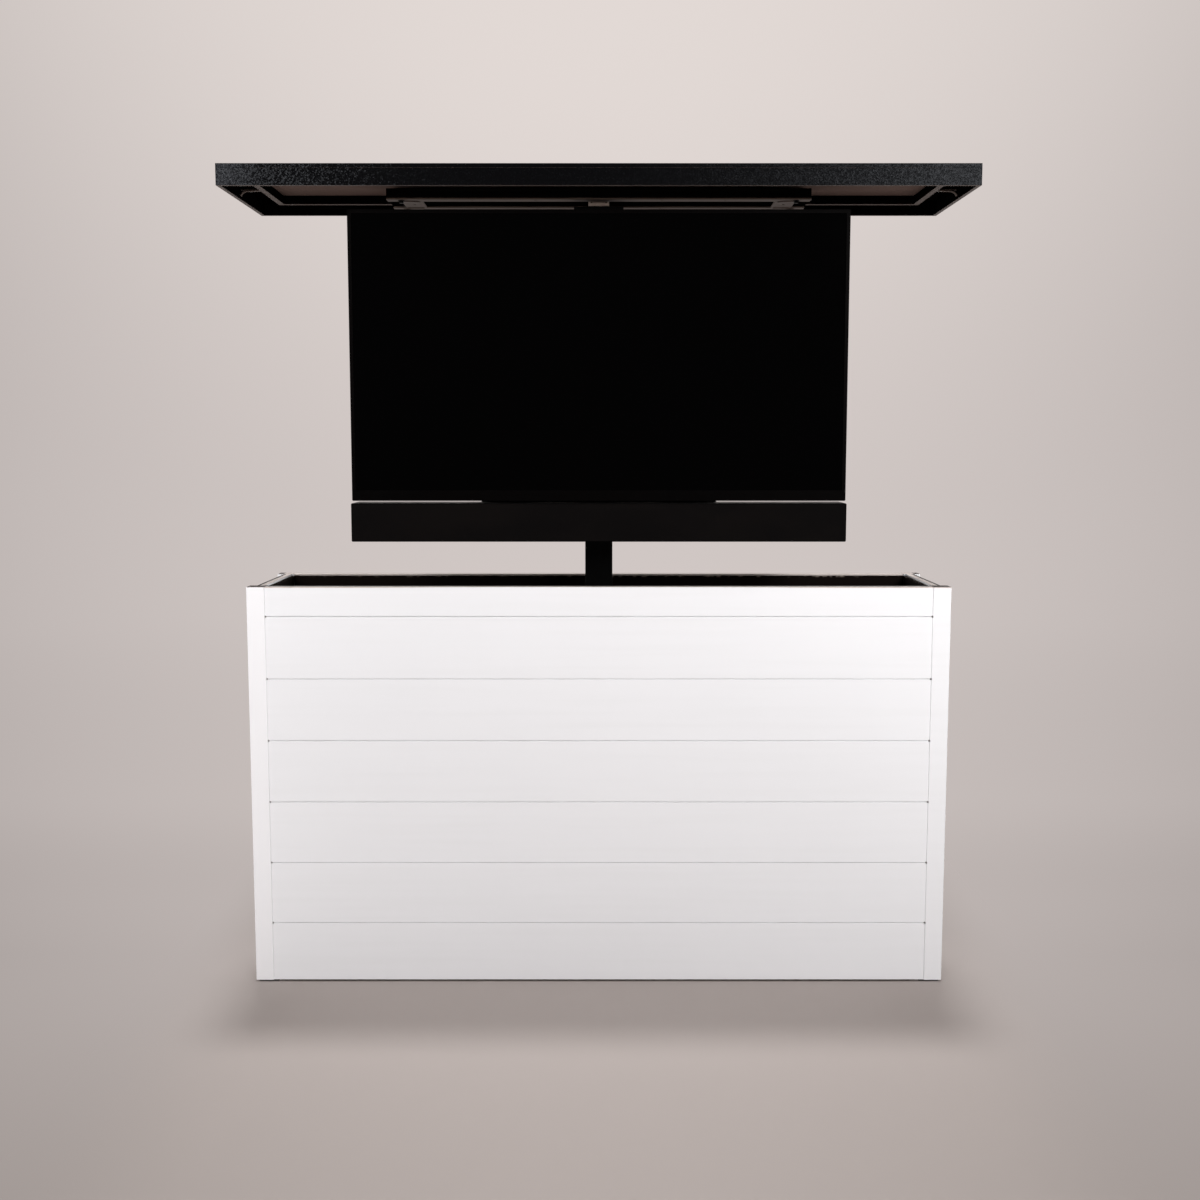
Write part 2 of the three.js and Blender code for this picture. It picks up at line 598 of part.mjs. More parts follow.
function addSoundbar(group) {
  const barX = centred(0, SOUNDBAR_WIDTH);
  const barZ = [soundbarBottom, soundbarTop];
  const grilleBackY = soundbarFrontY + GRILLE_THICKNESS;
  const outline = roundedRectangle(barX, barZ, SOUNDBAR_CORNER_RADIUS, SOUNDBAR_CORNER_RADIUS);
  const hollow = boxBetween(
    [barX[0] + SOUNDBAR_SHELL, barX[1] - SOUNDBAR_SHELL],
    [grilleBackY - CUT_OVERRUN, armBackY - SOUNDBAR_SHELL],
    [barZ[0] + SOUNDBAR_SHELL, barZ[1] - SOUNDBAR_SHELL],
  );
  addPiece(group, "soundbar_body", cut(alongY(outline, [grilleBackY, armBackY]), hollow), blackPlastic);
  const grilleX = [barX[0] + GRILLE_INSET, barX[1] - GRILLE_INSET];
  const grilleZ = [barZ[0] + GRILLE_INSET, barZ[1] - GRILLE_INSET];
  const grilleRadius = SOUNDBAR_CORNER_RADIUS - GRILLE_INSET;
  const grille = roundedRectangle(grilleX, grilleZ, grilleRadius, grilleRadius);
  addPiece(group, "soundbar_grille", alongY(grille, [soundbarFrontY, grilleBackY]), speakerCloth);
  const bracket = boxBetween(
    centred(0, SOUNDBAR_BRACKET_WIDTH),
    [armBackY, armBackY + SOUNDBAR_BRACKET_THICKNESS],
    [soundbarBottom + SOUNDBAR_BRACKET_RAISE, tvBottom + SOUNDBAR_BRACKET_LAP],
  );
  addPiece(group, "soundbar_bracket", bracket, blackSteel);
}

function addLidTray(group) {
  const lidX = [-lidHalfWidth, lidHalfWidth];
  const lidY = [-lidHalfDepth, lidHalfDepth];
  addPiece(group, "lid_top", boxBetween(lidX, lidY, [lidCeiling, lidTop]), lidCoating);
  const skirtZ = [lidBottom, lidCeiling];
  const innerDepth = lidHalfDepth - LID_SKIRT_THICKNESS;
  const innerWidth = lidHalfWidth - LID_SKIRT_THICKNESS;
  for (const [name, sign] of ends) {
    const skirt = boxBetween(lidX, span(sign, innerDepth, lidHalfDepth), skirtZ);
    addPiece(group, `lid_${name}_skirt`, skirt, lidCoating);
  }
  for (const [name, sign] of sides) {
    const skirt = boxBetween(span(sign, innerWidth, lidHalfWidth), [-innerDepth, innerDepth], skirtZ);
    addPiece(group, `lid_${name}_skirt`, skirt, lidCoating);
  }
}

// The seal frame hangs inside the tray, and a small tab on each side ties it to the skirt
function addSealFrame(group) {
  const sealBottom = lidBottom + SEAL_SETBACK;
  const innerX = bayHalfWidth + SEAL_OFFSET;
  const innerY = bayHalfDepth + SEAL_OFFSET;
  const outerX = innerX + SEAL_WIDTH;
  const outerY = innerY + SEAL_WIDTH;
  const frame = cut(
    boxBetween([-outerX, outerX], [-outerY, outerY], [sealBottom, lidCeiling]),
    boxBetween([-innerX, innerX], [-innerY, innerY], [sealBottom - CUT_OVERRUN, lidCeiling + CUT_OVERRUN]),
  );
  const tabBottom = sealBottom + SEAL_TAB_RAISE;
  const tabs = sides.map(([, sign]) => boxBetween(
    span(sign, innerX + SEAL_WIDTH / 2, lidHalfWidth - LID_SKIRT_THICKNESS),
    centred(SEAL_TAB_Y, SEAL_TAB_WIDTH),
    [tabBottom, tabBottom + SEAL_TAB_THICKNESS],
  ));
  addPiece(group, "lid_seal_frame", joined(frame, ...tabs), sealFoam);
}

function addLidSupport(group) {
  const frontY = railInnerFrontY - RAIL_WIDTH;
  const backY = railInnerBackY + RAIL_WIDTH;
  const stepTop = beamBottom + BEAM_STEP_HEIGHT;
  const bearer = polygon([
    [frontY, beamBottom],
    [backY, beamBottom],
    [backY, lidCeiling],
    [backY - BEAM_RISER_DEPTH, lidCeiling],
    [backY - BEAM_RISER_DEPTH, stepTop],
    [frontY, stepTop],
  ]);
  const beamX = centred(0, BEAM_LENGTH);
  addPiece(group, "lid_beam", alongX(bearer, beamX), blackBearer);
  const railZ = [railBottom, beamBottom];
  const frontRail = boxBetween(beamX, [frontY, railInnerFrontY], railZ);
  addPiece(group, "support_rail_front", frontRail, zincSteel);
  const backRail = boxBetween(beamX, [railInnerBackY, backY], railZ);
  addPiece(group, "support_rail_back", backRail, zincSteel);
  for (const [name, sign] of sides) {
    const outer = BEAM_LENGTH / 2 - CLAMP_INSET;
    const clampX = span(sign, outer - CLAMP_WIDTH, outer);
    const clamp = cut(
      boxBetween(clampX, [railInnerFrontY, railInnerBackY], railZ),
      uprightCylinder(
        CLAMP_HOLE_RADIUS,
        [railZ[0] - CUT_OVERRUN, railZ[1] + CUT_OVERRUN],
        (clampX[0] + clampX[1]) / 2,
        COLUMN_Y,
      ),
    );
    addPiece(group, `rail_clamp_${name}`, clamp, zincSteel);
  }
}

function buildCabinet() {
  const cabinet = new THREE.Group();
  addPostsAndFeet(cabinet);
  addFront(cabinet);
  addSidePanels(cabinet);
  addBack(cabinet);
  addLinersAndFloor(cabinet);
  addLiftBase(cabinet);
  addOuterColumn(cabinet);
  addDriveScrew(cabinet);
  return cabinet;
}

function buildCarriage() {
  const carriage = new THREE.Group();
  addInnerColumn(carriage);
  addTelevisionBracket(carriage);
  addTelevision(carriage);
  addSoundbar(carriage);
  addLidTray(carriage);
  addSealFrame(carriage);
  addLidSupport(carriage);
  return carriage;
}

const middleStage = new THREE.Group();
addMiddleStage(middleStage);
middleStage.position.z = STAGE_TRAVEL;

const carriage = buildCarriage();
carriage.position.z = STAGE_TRAVEL;
middleStage.add(carriage);

const liftCabinet = buildCabinet();
liftCabinet.add(middleStage);

export default liftCabinet;
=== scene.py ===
"""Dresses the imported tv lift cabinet: finishes, fasteners, trim, studio and camera. Metres, Z up."""

import json
import math

import bmesh
import bpy
from mathutils import Matrix, Vector


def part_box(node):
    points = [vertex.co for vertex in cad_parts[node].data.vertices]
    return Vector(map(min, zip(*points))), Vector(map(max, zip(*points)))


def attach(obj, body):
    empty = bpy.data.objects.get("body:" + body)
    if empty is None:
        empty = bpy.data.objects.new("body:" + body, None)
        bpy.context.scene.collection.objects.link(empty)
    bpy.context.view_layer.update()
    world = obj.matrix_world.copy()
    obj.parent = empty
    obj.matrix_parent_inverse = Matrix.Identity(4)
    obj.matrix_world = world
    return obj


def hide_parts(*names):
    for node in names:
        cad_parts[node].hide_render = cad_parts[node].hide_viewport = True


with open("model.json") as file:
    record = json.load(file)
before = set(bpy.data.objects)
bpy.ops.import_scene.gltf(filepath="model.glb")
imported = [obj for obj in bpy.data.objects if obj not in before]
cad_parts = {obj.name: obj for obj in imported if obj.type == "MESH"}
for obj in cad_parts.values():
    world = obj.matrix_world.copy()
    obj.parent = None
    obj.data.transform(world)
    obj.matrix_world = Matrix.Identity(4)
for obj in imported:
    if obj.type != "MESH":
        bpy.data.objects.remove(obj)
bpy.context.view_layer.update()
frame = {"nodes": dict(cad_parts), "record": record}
nodes = frame["nodes"]

MM = 0.001
SHARP_DEG = 35

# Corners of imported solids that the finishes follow
POST_LOW, POST_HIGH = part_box("corner_post_front_right")
PLANK_LOW, PLANK_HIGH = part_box("front_plank_1")
SIDE_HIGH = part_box("right_side_panel")[1]
LID_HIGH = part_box("lid_top")[1]
RIM = POST_HIGH.z


def srgb(red, green, blue):
    """A display colour from 0 to 255 as linear red, green, blue and alpha."""

    def linear(value):
        value /= 255
        return value / 12.92 if value <= 0.04045 else ((value + 0.055) / 1.055) ** 2.4

    return (linear(red), linear(green), linear(blue), 1)


# Materials


class Tree:
    """A material's nodes, with short calls for those that every material uses."""

    def __init__(self, name):
        self.material = bpy.data.materials.new(name)
        self.material.use_nodes = True
        self.tree = self.material.node_tree
        self.place = self.node("ShaderNodeTexCoord").outputs["Object"]

    def node(self, kind, **settings):
        made = self.tree.nodes.new(kind)
        for key, value in settings.items():
            setattr(made, key, value)
        return made

    def link(self, output, target):
        self.tree.links.new(output, target)

    def math(self, operation, *values):
        made = self.node("ShaderNodeMath", operation=operation)
        for socket, value in zip(made.inputs, values):
            if isinstance(value, (int, float)):
                socket.default_value = value
            else:
                self.link(value, socket)
        return made.outputs[0]

    def vector_math(self, operation, first, second=None, **settings):
        made = self.node("ShaderNodeVectorMath", operation=operation)
        for socket, value in ((made.inputs[0], first), (made.inputs[1], second)):
            if isinstance(value, tuple):
                socket.default_value = value
            elif value is not None:
                self.link(value, socket)
        for key, value in settings.items():
            self.link(value, made.inputs[key])
        return made.outputs[0]

    def spread(self, value, low, high, start=0, end=1, kind="SMOOTHSTEP"):
        """Goes from low to high while the value goes from start to end."""
        made = self.node("ShaderNodeMapRange", interpolation_type=kind)
        for key, setting in (("From Min", start), ("From Max", end), ("To Min", low), ("To Max", high)):
            made.inputs[key].default_value = setting
        self.link(value, made.inputs["Value"])
        return made.outputs["Result"]

    def place_axes(self):
        made = self.node("ShaderNodeSeparateXYZ")
        self.link(self.place, made.inputs[0])
        return made.outputs


class Surface(Tree):
    """A Principled material with short calls for the textures that drive it."""

    def __init__(self, name, color, roughness, metallic=0, specular=0.5):
        super().__init__(name)
        self.shader = self.tree.nodes["Principled BSDF"]
        self.normal = None
        self.shader.inputs["Base Color"].default_value = color
        self.shader.inputs["Roughness"].default_value = roughness
        self.shader.inputs["Metallic"].default_value = metallic
        self.shader.inputs["Specular IOR Level"].default_value = specular

    def noise(self, scale, detail=3, stretch=(1, 1, 1)):
        mapping = self.node("ShaderNodeMapping")
        mapping.inputs["Scale"].default_value = stretch
        self.link(self.place, mapping.inputs["Vector"])
        made = self.node("ShaderNodeTexNoise")
        made.inputs["Scale"].default_value = scale
        made.inputs["Detail"].default_value = detail
        self.link(mapping.outputs["Vector"], made.inputs["Vector"])
        return made.outputs["Fac"]

    def cells(self, scale, feature="F1"):
        made = self.node("ShaderNodeTexVoronoi", feature=feature)
        made.inputs["Scale"].default_value = scale
        self.link(self.place, made.inputs["Vector"])
        return made.outputs

    def wave(self, scale, direction):
        made = self.node("ShaderNodeTexWave", bands_direction=direction)
        made.inputs["Scale"].default_value = scale
        self.link(self.place, made.inputs["Vector"])
        return made.outputs["Fac"]

    def both(self, first, second):
        """High only where both values are high."""
        return self.math("MULTIPLY", first, second)

    def aside(self):
        """The distance to either side of the middle."""
        return self.math("ABSOLUTE", self.place_axes()[0])

    def tint(self, value, color):
        """Moves the base colour towards another colour where the value is high."""
        made = self.node("ShaderNodeMix", data_type="RGBA")
        self.link(value, made.inputs["Factor"])
        base = self.shader.inputs["Base Color"]
        if base.is_linked:
            self.link(base.links[0].from_socket, made.inputs["A"])
        else:
            made.inputs["A"].default_value = base.default_value
        made.inputs["B"].default_value = color
        self.link(made.outputs["Result"], base)

    def rough(self, value, low, high):
        self.link(self.spread(value, low, high, 0.3, 0.7), self.shader.inputs["Roughness"])

    def set_normal(self, normal):
        """Sets the normal that the surface is lit by."""
        self.normal = normal
        self.link(normal, self.shader.inputs["Normal"])

    def facets(self, scale, tilt):
        """Tilts each small cell its own way, so that it glints or stays dark as a whole."""
        centred = self.vector_math("SUBTRACT", self.cells(scale)["Color"], (0.5, 0.5, 0.5))
        leaning = self.vector_math("SCALE", centred, Scale=tilt)
        straight = self.node("ShaderNodeNewGeometry").outputs["Normal"]
        self.set_normal(self.vector_math("NORMALIZE", self.vector_math("ADD", straight, leaning)))

    def bump(self, value, distance, strength=1):
        """Adds a layer of relief. The distance is in metres."""
        made = self.node("ShaderNodeBump")
        made.inputs["Distance"].default_value = distance
        made.inputs["Strength"].default_value = strength
        self.link(value, made.inputs["Height"])
        if self.normal is not None:
            self.link(self.normal, made.inputs["Normal"])
        self.set_normal(made.outputs["Normal"])


def white_paint():
    made = Surface("white_paint", srgb(243, 244, 247), 0.42, specular=0.35)
    made.tint(made.spread(made.noise(1.6, 2), 0, 0.5, 0.35, 0.7), srgb(239, 240, 243))
    streaks = made.noise(9, 4, (0.25, 6, 7))
    made.tint(made.spread(streaks, 0, 0.22, 0.4, 0.75), srgb(236, 237, 239))
    made.rough(made.noise(30, 4), 0.36, 0.5)
    made.bump(made.noise(420, 2), 0.2 * MM, 0.35)
    made.bump(streaks, 0.6 * MM, 0.12)
    x, y, z = made.place_axes()
    front = PLANK_LOW.y
    on_front = made.spread(y, 1, 0, front + 12 * MM, front + 22 * MM)
    # Painted shade in the small gaps where each groove of the front meets a post
    seam, groove = POST_LOW.x - 0.5 * MM, PLANK_LOW.z - 0.75 * MM
    from_seam = made.math("ABSOLUTE", made.math("SUBTRACT", made.aside(), seam))
    half_pitch = (PLANK_HIGH.z - PLANK_LOW.z) / 2
    from_groove = made.math("PINGPONG", made.math("SUBTRACT", z, groove), half_pitch)
    in_seam = made.spread(from_seam, 1, 0, 0.8 * MM, 3 * MM)
    in_groove = made.spread(from_groove, 0.9, 0, 1.2 * MM, 3.5 * MM)
    made.tint(made.both(made.both(in_seam, in_groove), on_front), srgb(92, 84, 80))
    # The paint stops a little below the front's upper edge, the more so towards the ends
    at_rim = made.spread(z, 0, 1, RIM - 2.4 * MM, RIM - 1.8 * MM)
    bare = made.both(at_rim, made.spread(made.aside(), 0, 0.85, 0.25, 0.62))
    made.tint(made.both(bare, on_front), srgb(196, 184, 178))
    # Painted light: the left posts are painted a whiter coat, standing in for the brighter light on them
    edge = -POST_LOW.x
    made.tint(made.spread(x, 0.8, 0, edge - 0.5 * MM, edge + 0.5 * MM), srgb(249, 249, 252))
    return made.material


def dark_end_grain():
    """The tops of the posts, those at the back dark at their outer corner only."""
    made = Surface("dark_end_grain", srgb(50, 35, 29), 0.7)
    rings = made.noise(60, 5, (1, 4, 1))
    made.tint(made.spread(rings, 0, 0.8, 0.35, 0.7), srgb(38, 26, 21))
    edge = SIDE_HIGH.x + 2 * MM
    inner = made.spread(made.aside(), 1, 0, edge - 0.5 * MM, edge + 0.5 * MM)
    at_back = made.spread(made.place_axes()[1], 0, 1, 0, 0.1)
    made.tint(made.both(inner, at_back), srgb(204, 193, 187))
    made.bump(rings, 0.6 * MM, 0.5)
    return made.material


def pale_edge_band():
    """The tops of the rim boards, which aren't painted white."""
    made = Surface("pale_edge_band", srgb(214, 204, 199), 0.6)
    made.tint(made.spread(made.noise(12, 4), 0, 0.5, 0.4, 0.7), srgb(204, 193, 187))
    made.bump(made.noise(300, 2), 0.3 * MM, 0.4)
    # Painted shade along the outer edge of the sides' tops, standing in for their edge-on outer faces in
    # shade; dark also over the back of the front rail
    outer_strip = SIDE_HIGH.x - 8 * MM
    made.tint(made.spread(made.aside(), 0, 1, outer_strip, outer_strip + 1.5 * MM), srgb(22, 17, 15))
    y = made.place_axes()[1]
    strip_low, strip_high = POST_HIGH.y - 26 * MM, POST_HIGH.y - 2 * MM
    past_low = made.spread(y, 0, 1, strip_low, strip_low + 2 * MM)
    short_of_high = made.spread(y, 1, 0, strip_high, strip_high + 1 * MM)
    made.tint(made.both(past_low, short_of_high), srgb(24, 19, 17))
    return made.material


def stippled_coating():
    """A black coating with a coarse sprayed stipple that glints where a soft light reaches it."""
    made = Surface("stippled_coating", srgb(5, 5, 6), 0.24, specular=0.08)
    made.shader.inputs["Specular Tint"].default_value = srgb(243, 247, 255)
    grain_scale = 400.0
    grains = made.cells(grain_scale)
    made.tint(made.spread(grains["Color"], 0, 0.5, 0.7, 0.95), srgb(15, 16, 18))
    x, y, z = made.place_axes()
    # The lid's top and ends are duller than its front, which is shinier on the left
    near_face, at_face = 1.5 * MM, 0.5 * MM
    dull_top = made.spread(z, 0, 0.55, LID_HIGH.z - near_face, LID_HIGH.z - at_face)
    dull_ends = made.spread(made.aside(), 0, 0.55, LID_HIGH.x - near_face, LID_HIGH.x - at_face)
    dull_right = made.spread(x, 0.19, 0.37, -0.3, 0.5)
    dull = made.math("MAXIMUM", dull_right, made.math("MAXIMUM", dull_top, dull_ends))
    made.link(dull, made.shader.inputs["Roughness"])
    # Painted sheen greys the left end, standing in for the glints of the soft light there
    made.tint(made.spread(x, 0.7, 0, -0.88, -0.76), srgb(34, 35, 38))
    # The stipple glints more on the left, too
    made.facets(grain_scale, made.spread(x, 0.31, 0.19, -0.3, 0.4))
    made.bump(grains["Distance"], 0.2 * MM, 0.4)
    return made.material


def dark_liner():
    """The lining, with pale chips along its cut top edge that are thicker towards the right."""
    made = Surface("dark_liner", srgb(19, 14, 13), 0.85, specular=0.03)
    x, y, z = made.place_axes()
    near_top = made.spread(z, 0, 1, RIM - 8.5 * MM, RIM - 7 * MM)
    amount = made.both(near_top, made.spread(x, 0.35, 1, -0.8, 0.8))
    flecks = made.spread(made.noise(170, 1, (0.5, 1, 1)), 0, 1, 0.56, 0.66)
    made.tint(made.both(flecks, amount), srgb(120, 110, 104))
    made.bump(made.noise(340, 4), 0.8 * MM, 0.6)
    return made.material


def lid_ceiling():
    """The brownish grey board over the hollow of the lid, dark outside the seal frame."""
    made = Surface("lid_ceiling", srgb(113, 97, 91), 0.75, specular=0)
    made.tint(made.spread(made.noise(7, 4), 0, 0.6, 0.35, 0.7), srgb(100, 85, 80))
    made.bump(made.noise(300, 3), 0.4 * MM, 0.4)
    made.tint(made.spread(made.aside(), 0, 1, 0.82, 0.825), srgb(8, 6, 6))
    return made.material


def seal_foam():
    made = Surface("seal_foam", srgb(88, 76, 70), 0.9)
    pores = made.cells(420)["Distance"]
    made.tint(made.spread(pores, 0.5, 0, 0.1, 0.6), srgb(68, 57, 52))
    made.bump(pores, 0.6 * MM, 0.6)
    return made.material


def powder_coat(name="powder_coat", color=(3, 3, 3), gloss=0.04):
    made = Surface(name, srgb(*color), 0.48, specular=gloss)
    made.rough(made.noise(90), 0.42, 0.56)
    made.tint(made.spread(made.noise(5), 0, 0.5), srgb(*(value + 3 for value in color)))
    made.bump(made.noise(900, 2), 0.22 * MM, 0.6)
    return made.material


def painted_timber():
    made = Surface("painted_timber", srgb(5, 4, 4), 0.7, specular=0)
    grain = made.noise(22, 5, (0.2, 5, 5))
    made.tint(made.spread(grain, 0, 0.7, 0.4, 0.7), srgb(10, 9, 8))
    made.bump(grain, 0.5 * MM, 0.4)
    return made.material


def zinc_plate():
    made = Surface("zinc_plate", srgb(76, 65, 57), 0.42, 0.9)
    brushed = made.noise(60, 4, (0.35, 9, 9))
    made.rough(brushed, 0.28, 0.5)
    blotches = made.cells(75, "SMOOTH_F1")["Distance"]
    made.tint(made.spread(blotches, 0, 0.6, 0.2, 0.8), srgb(58, 48, 42))
    made.bump(brushed, 0.25 * MM, 0.4)
    return made.material


def rail_steel():
    """Dull brownish steel flats."""
    made = Surface("rail_steel", srgb(82, 69, 61), 0.6, 0.2, 0.08)
    streaks = made.noise(60, 4, (0.35, 9, 9))
    made.tint(made.spread(streaks, 0, 0.7, 0.35, 0.7), srgb(66, 55, 48))
    made.bump(streaks, 0.25 * MM, 0.4)
    return made.material


def zinc_with_painted_light():
    """The paler, duller metal of the block over the column; its paleness is painted light, standing in for
    light on it in the shade under the lid.
    """
    made = Surface("zinc_with_painted_light", srgb(160, 142, 130), 0.6, 0.25)
    grain = made.noise(140, 4)
    made.tint(made.spread(grain, 0, 0.6, 0.4, 0.7), srgb(128, 112, 102))
    made.bump(grain, 0.3 * MM, 0.5)
    return made.material


def rolled_screw():
    """Bright rolled steel whose bands stand in for a thread of about 10 mm a turn."""
    made = Surface("rolled_screw", srgb(176, 176, 174), 0.26, 1)
    made.bump(made.wave(31.83, "Z"), 1.2 * MM)
    made.tint(made.spread(made.noise(40, 4), 0, 0.5, 0.4, 0.8), srgb(120, 116, 108))
    return made.material


def moulded_plastic(name="moulded_plastic", color=(9, 8, 8), roughness=0.44, gloss=0.2):
    made = Surface(name, srgb(*color), roughness, specular=gloss)
    made.rough(made.noise(40), roughness - 0.05, roughness + 0.07)
    made.tint(made.spread(made.noise(6), 0, 0.4), srgb(*(value + 3 for value in color)))
    made.bump(made.noise(1200, 2), 0.12 * MM, 0.5)
    return made.material


def screen_glass():
    made = Surface("screen_glass", srgb(1, 1, 1), 0.1, specular=0.025)
    made.rough(made.noise(14), 0.08, 0.13)
    made.tint(made.spread(made.noise(2, 2), 0, 0.3), srgb(2, 2, 3))
    return made.material


def speaker_cloth():
    made = Surface("speaker_cloth", srgb(8, 7, 7), 0.82, specular=0.03)
    warp, weft = made.wave(180, "X"), made.wave(180, "Z")
    made.tint(made.spread(warp, 0, 0.45), srgb(17, 14, 15))
    made.tint(made.spread(weft, 0, 0.35), srgb(8, 7, 7))
    made.tint(made.spread(made.noise(5, 3, (1, 1, 2)), 0, 0.4, 0.35, 0.7), srgb(17, 14, 13))
    for threads in (warp, weft):
        made.bump(threads, 0.3 * MM, 0.5)
    return made.material


def rubber():
    made = Surface("rubber", srgb(14, 13, 12), 0.85)
    made.tint(made.spread(made.noise(50), 0, 0.5), srgb(22, 20, 19))
    made.bump(made.noise(500, 2), 0.3 * MM, 0.5)
    return made.material


def nylon():
    made = Surface("nylon", srgb(24, 24, 24), 0.55)
    made.tint(made.spread(made.noise(25), 0, 0.5), srgb(34, 33, 32))
    made.bump(made.noise(600, 2), 0.12 * MM, 0.5)
    return made.material


END_GRAIN = dark_end_grain()
EDGE_BAND = pale_edge_band()
CEILING = lid_ceiling()
FOAM = seal_foam()
STEEL = powder_coat()
ALUMINIUM = powder_coat("coated_aluminium", (11, 11, 12), 0.18)
BEARER = painted_timber()
ZINC = zinc_plate()
RAIL = rail_steel()
ZINC_WITH_PAINTED_LIGHT = zinc_with_painted_light()
PLASTIC = moulded_plastic()
BEZEL = moulded_plastic("bezel_plastic", (3, 2, 2), 0.45, 0.02)
NYLON = nylon()

SLOT_MATERIALS = {
    "white_paint": white_paint(),
    "dark_liner": dark_liner(),
    "lid_coating": stippled_coating(),
    "seal_foam": FOAM,
    "black_steel": STEEL,
    "black_aluminium": ALUMINIUM,
    "black_bearer": BEARER,
    "black_plastic": PLASTIC,
    "zinc_steel": RAIL,
    "screw_steel": rolled_screw(),
    "glide_nylon": NYLON,
    "screen_glass": screen_glass(),
    "speaker_cloth": speaker_cloth(),
    "foot_rubber": rubber(),
}


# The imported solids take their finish, and their sharp edges are eased

EDGE_RADII = {
    "white_paint": 0.8 * MM,
    "lid_coating": 0.3 * MM,
    "black_plastic": 1.0 * MM,
    "black_steel": 0.8 * MM,
    "black_aluminium": 1.0 * MM,
    "black_bearer": 1.0 * MM,
    "zinc_steel": 0.6 * MM,
    "glide_nylon": 0.8 * MM,
    "foot_rubber": 1.0 * MM,
    "seal_foam": 1.2 * MM,
    "dark_liner": 0.6 * MM,
    "speaker_cloth": 0.8 * MM,
}
NODE_EDGE_RADII = {
    "tv_rear_cover": 1.2 * MM,
    "outer_column": 1.1 * MM,
    "middle_column": 1.3 * MM,
    "inner_column": 1.3 * MM,
}


def ease_edges(obj, radius):
    weld = obj.modifiers.new("weld", "WELD")
    weld.merge_threshold = 0.02 * MM
    bevel = obj.modifiers.new("ease", "BEVEL")
    bevel.width = radius
    bevel.segments = 2
    bevel.limit_method = "ANGLE"
    bevel.angle_limit = math.radians(SHARP_DEG)
    bevel.harden_normals = True
    bevel.use_clamp_overlap = True


# Tests on a face's middle and normal. A face looks along an axis when nearly all of its normal does.
ALONG = 0.9


def looks_up(middle, normal):
    return normal.z > ALONG


def looks_down(middle, normal):
    return normal.z < -ALONG


def looks_front(middle, normal):
    return normal.y < -ALONG


def tops_rim(middle, normal):
    return looks_up(middle, normal) and middle.z > RIM - 8 * MM


def stands(middle, normal):
    return abs(normal.z) < 0.5


def looks_inwards(middle, normal):
    """Whether an upright face looks towards the middle of the lid."""
    return stands(middle, normal) and middle.x * normal.x + middle.y * normal.y < 0


def paint_faces(name, material, chosen):
    """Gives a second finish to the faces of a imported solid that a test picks."""
    data = nodes[name].data
    data.materials.append(material)
    index = len(data.materials) - 1
    for face in data.polygons:
        if chosen(face.center, face.normal):
            face.material_index = index


def dress_cad_nodes():
    for part in frame["record"]["subparts"]:
        name, slot = part["node"], part["material_slot"]
        obj = nodes[name]
        obj.data.materials.clear()
        obj.data.materials.append(SLOT_MATERIALS[slot])
        radius = NODE_EDGE_RADII.get(name, EDGE_RADII.get(slot))
        if radius:
            ease_edges(obj, radius)
    nodes["tv_bezel"].data.materials[0] = BEZEL
    # The head block takes the zinc painted paler as painted light
    nodes["head_block"].data.materials[0] = ZINC_WITH_PAINTED_LIGHT
    for end in ("front", "back"):
        for side in ("left", "right"):
            paint_faces(f"corner_post_{end}_{side}", END_GRAIN, looks_up)
    for board in ("left_side_panel", "right_side_panel", "front_top_rail", "back_top_rail"):
        paint_faces(board, EDGE_BAND, tops_rim)
    paint_faces("back_top_rail", EDGE_BAND, looks_front)
    paint_faces("lid_top", CEILING, looks_down)
    for side in ("front", "back", "left", "right"):
        paint_faces(f"lid_{side}_skirt", FOAM, looks_down)
        paint_faces(f"lid_{side}_skirt", BEARER, looks_inwards)
    paint_faces("lid_seal_frame", BEARER, stands)


dress_cad_nodes()


# Shapes for the added pieces


def circle(x, y, radius, steps, phase=0.0):
    turns = [math.tau * step / steps + phase for step in range(steps)]
    return [(x + radius * math.cos(turn), y + radius * math.sin(turn)) for turn in turns]


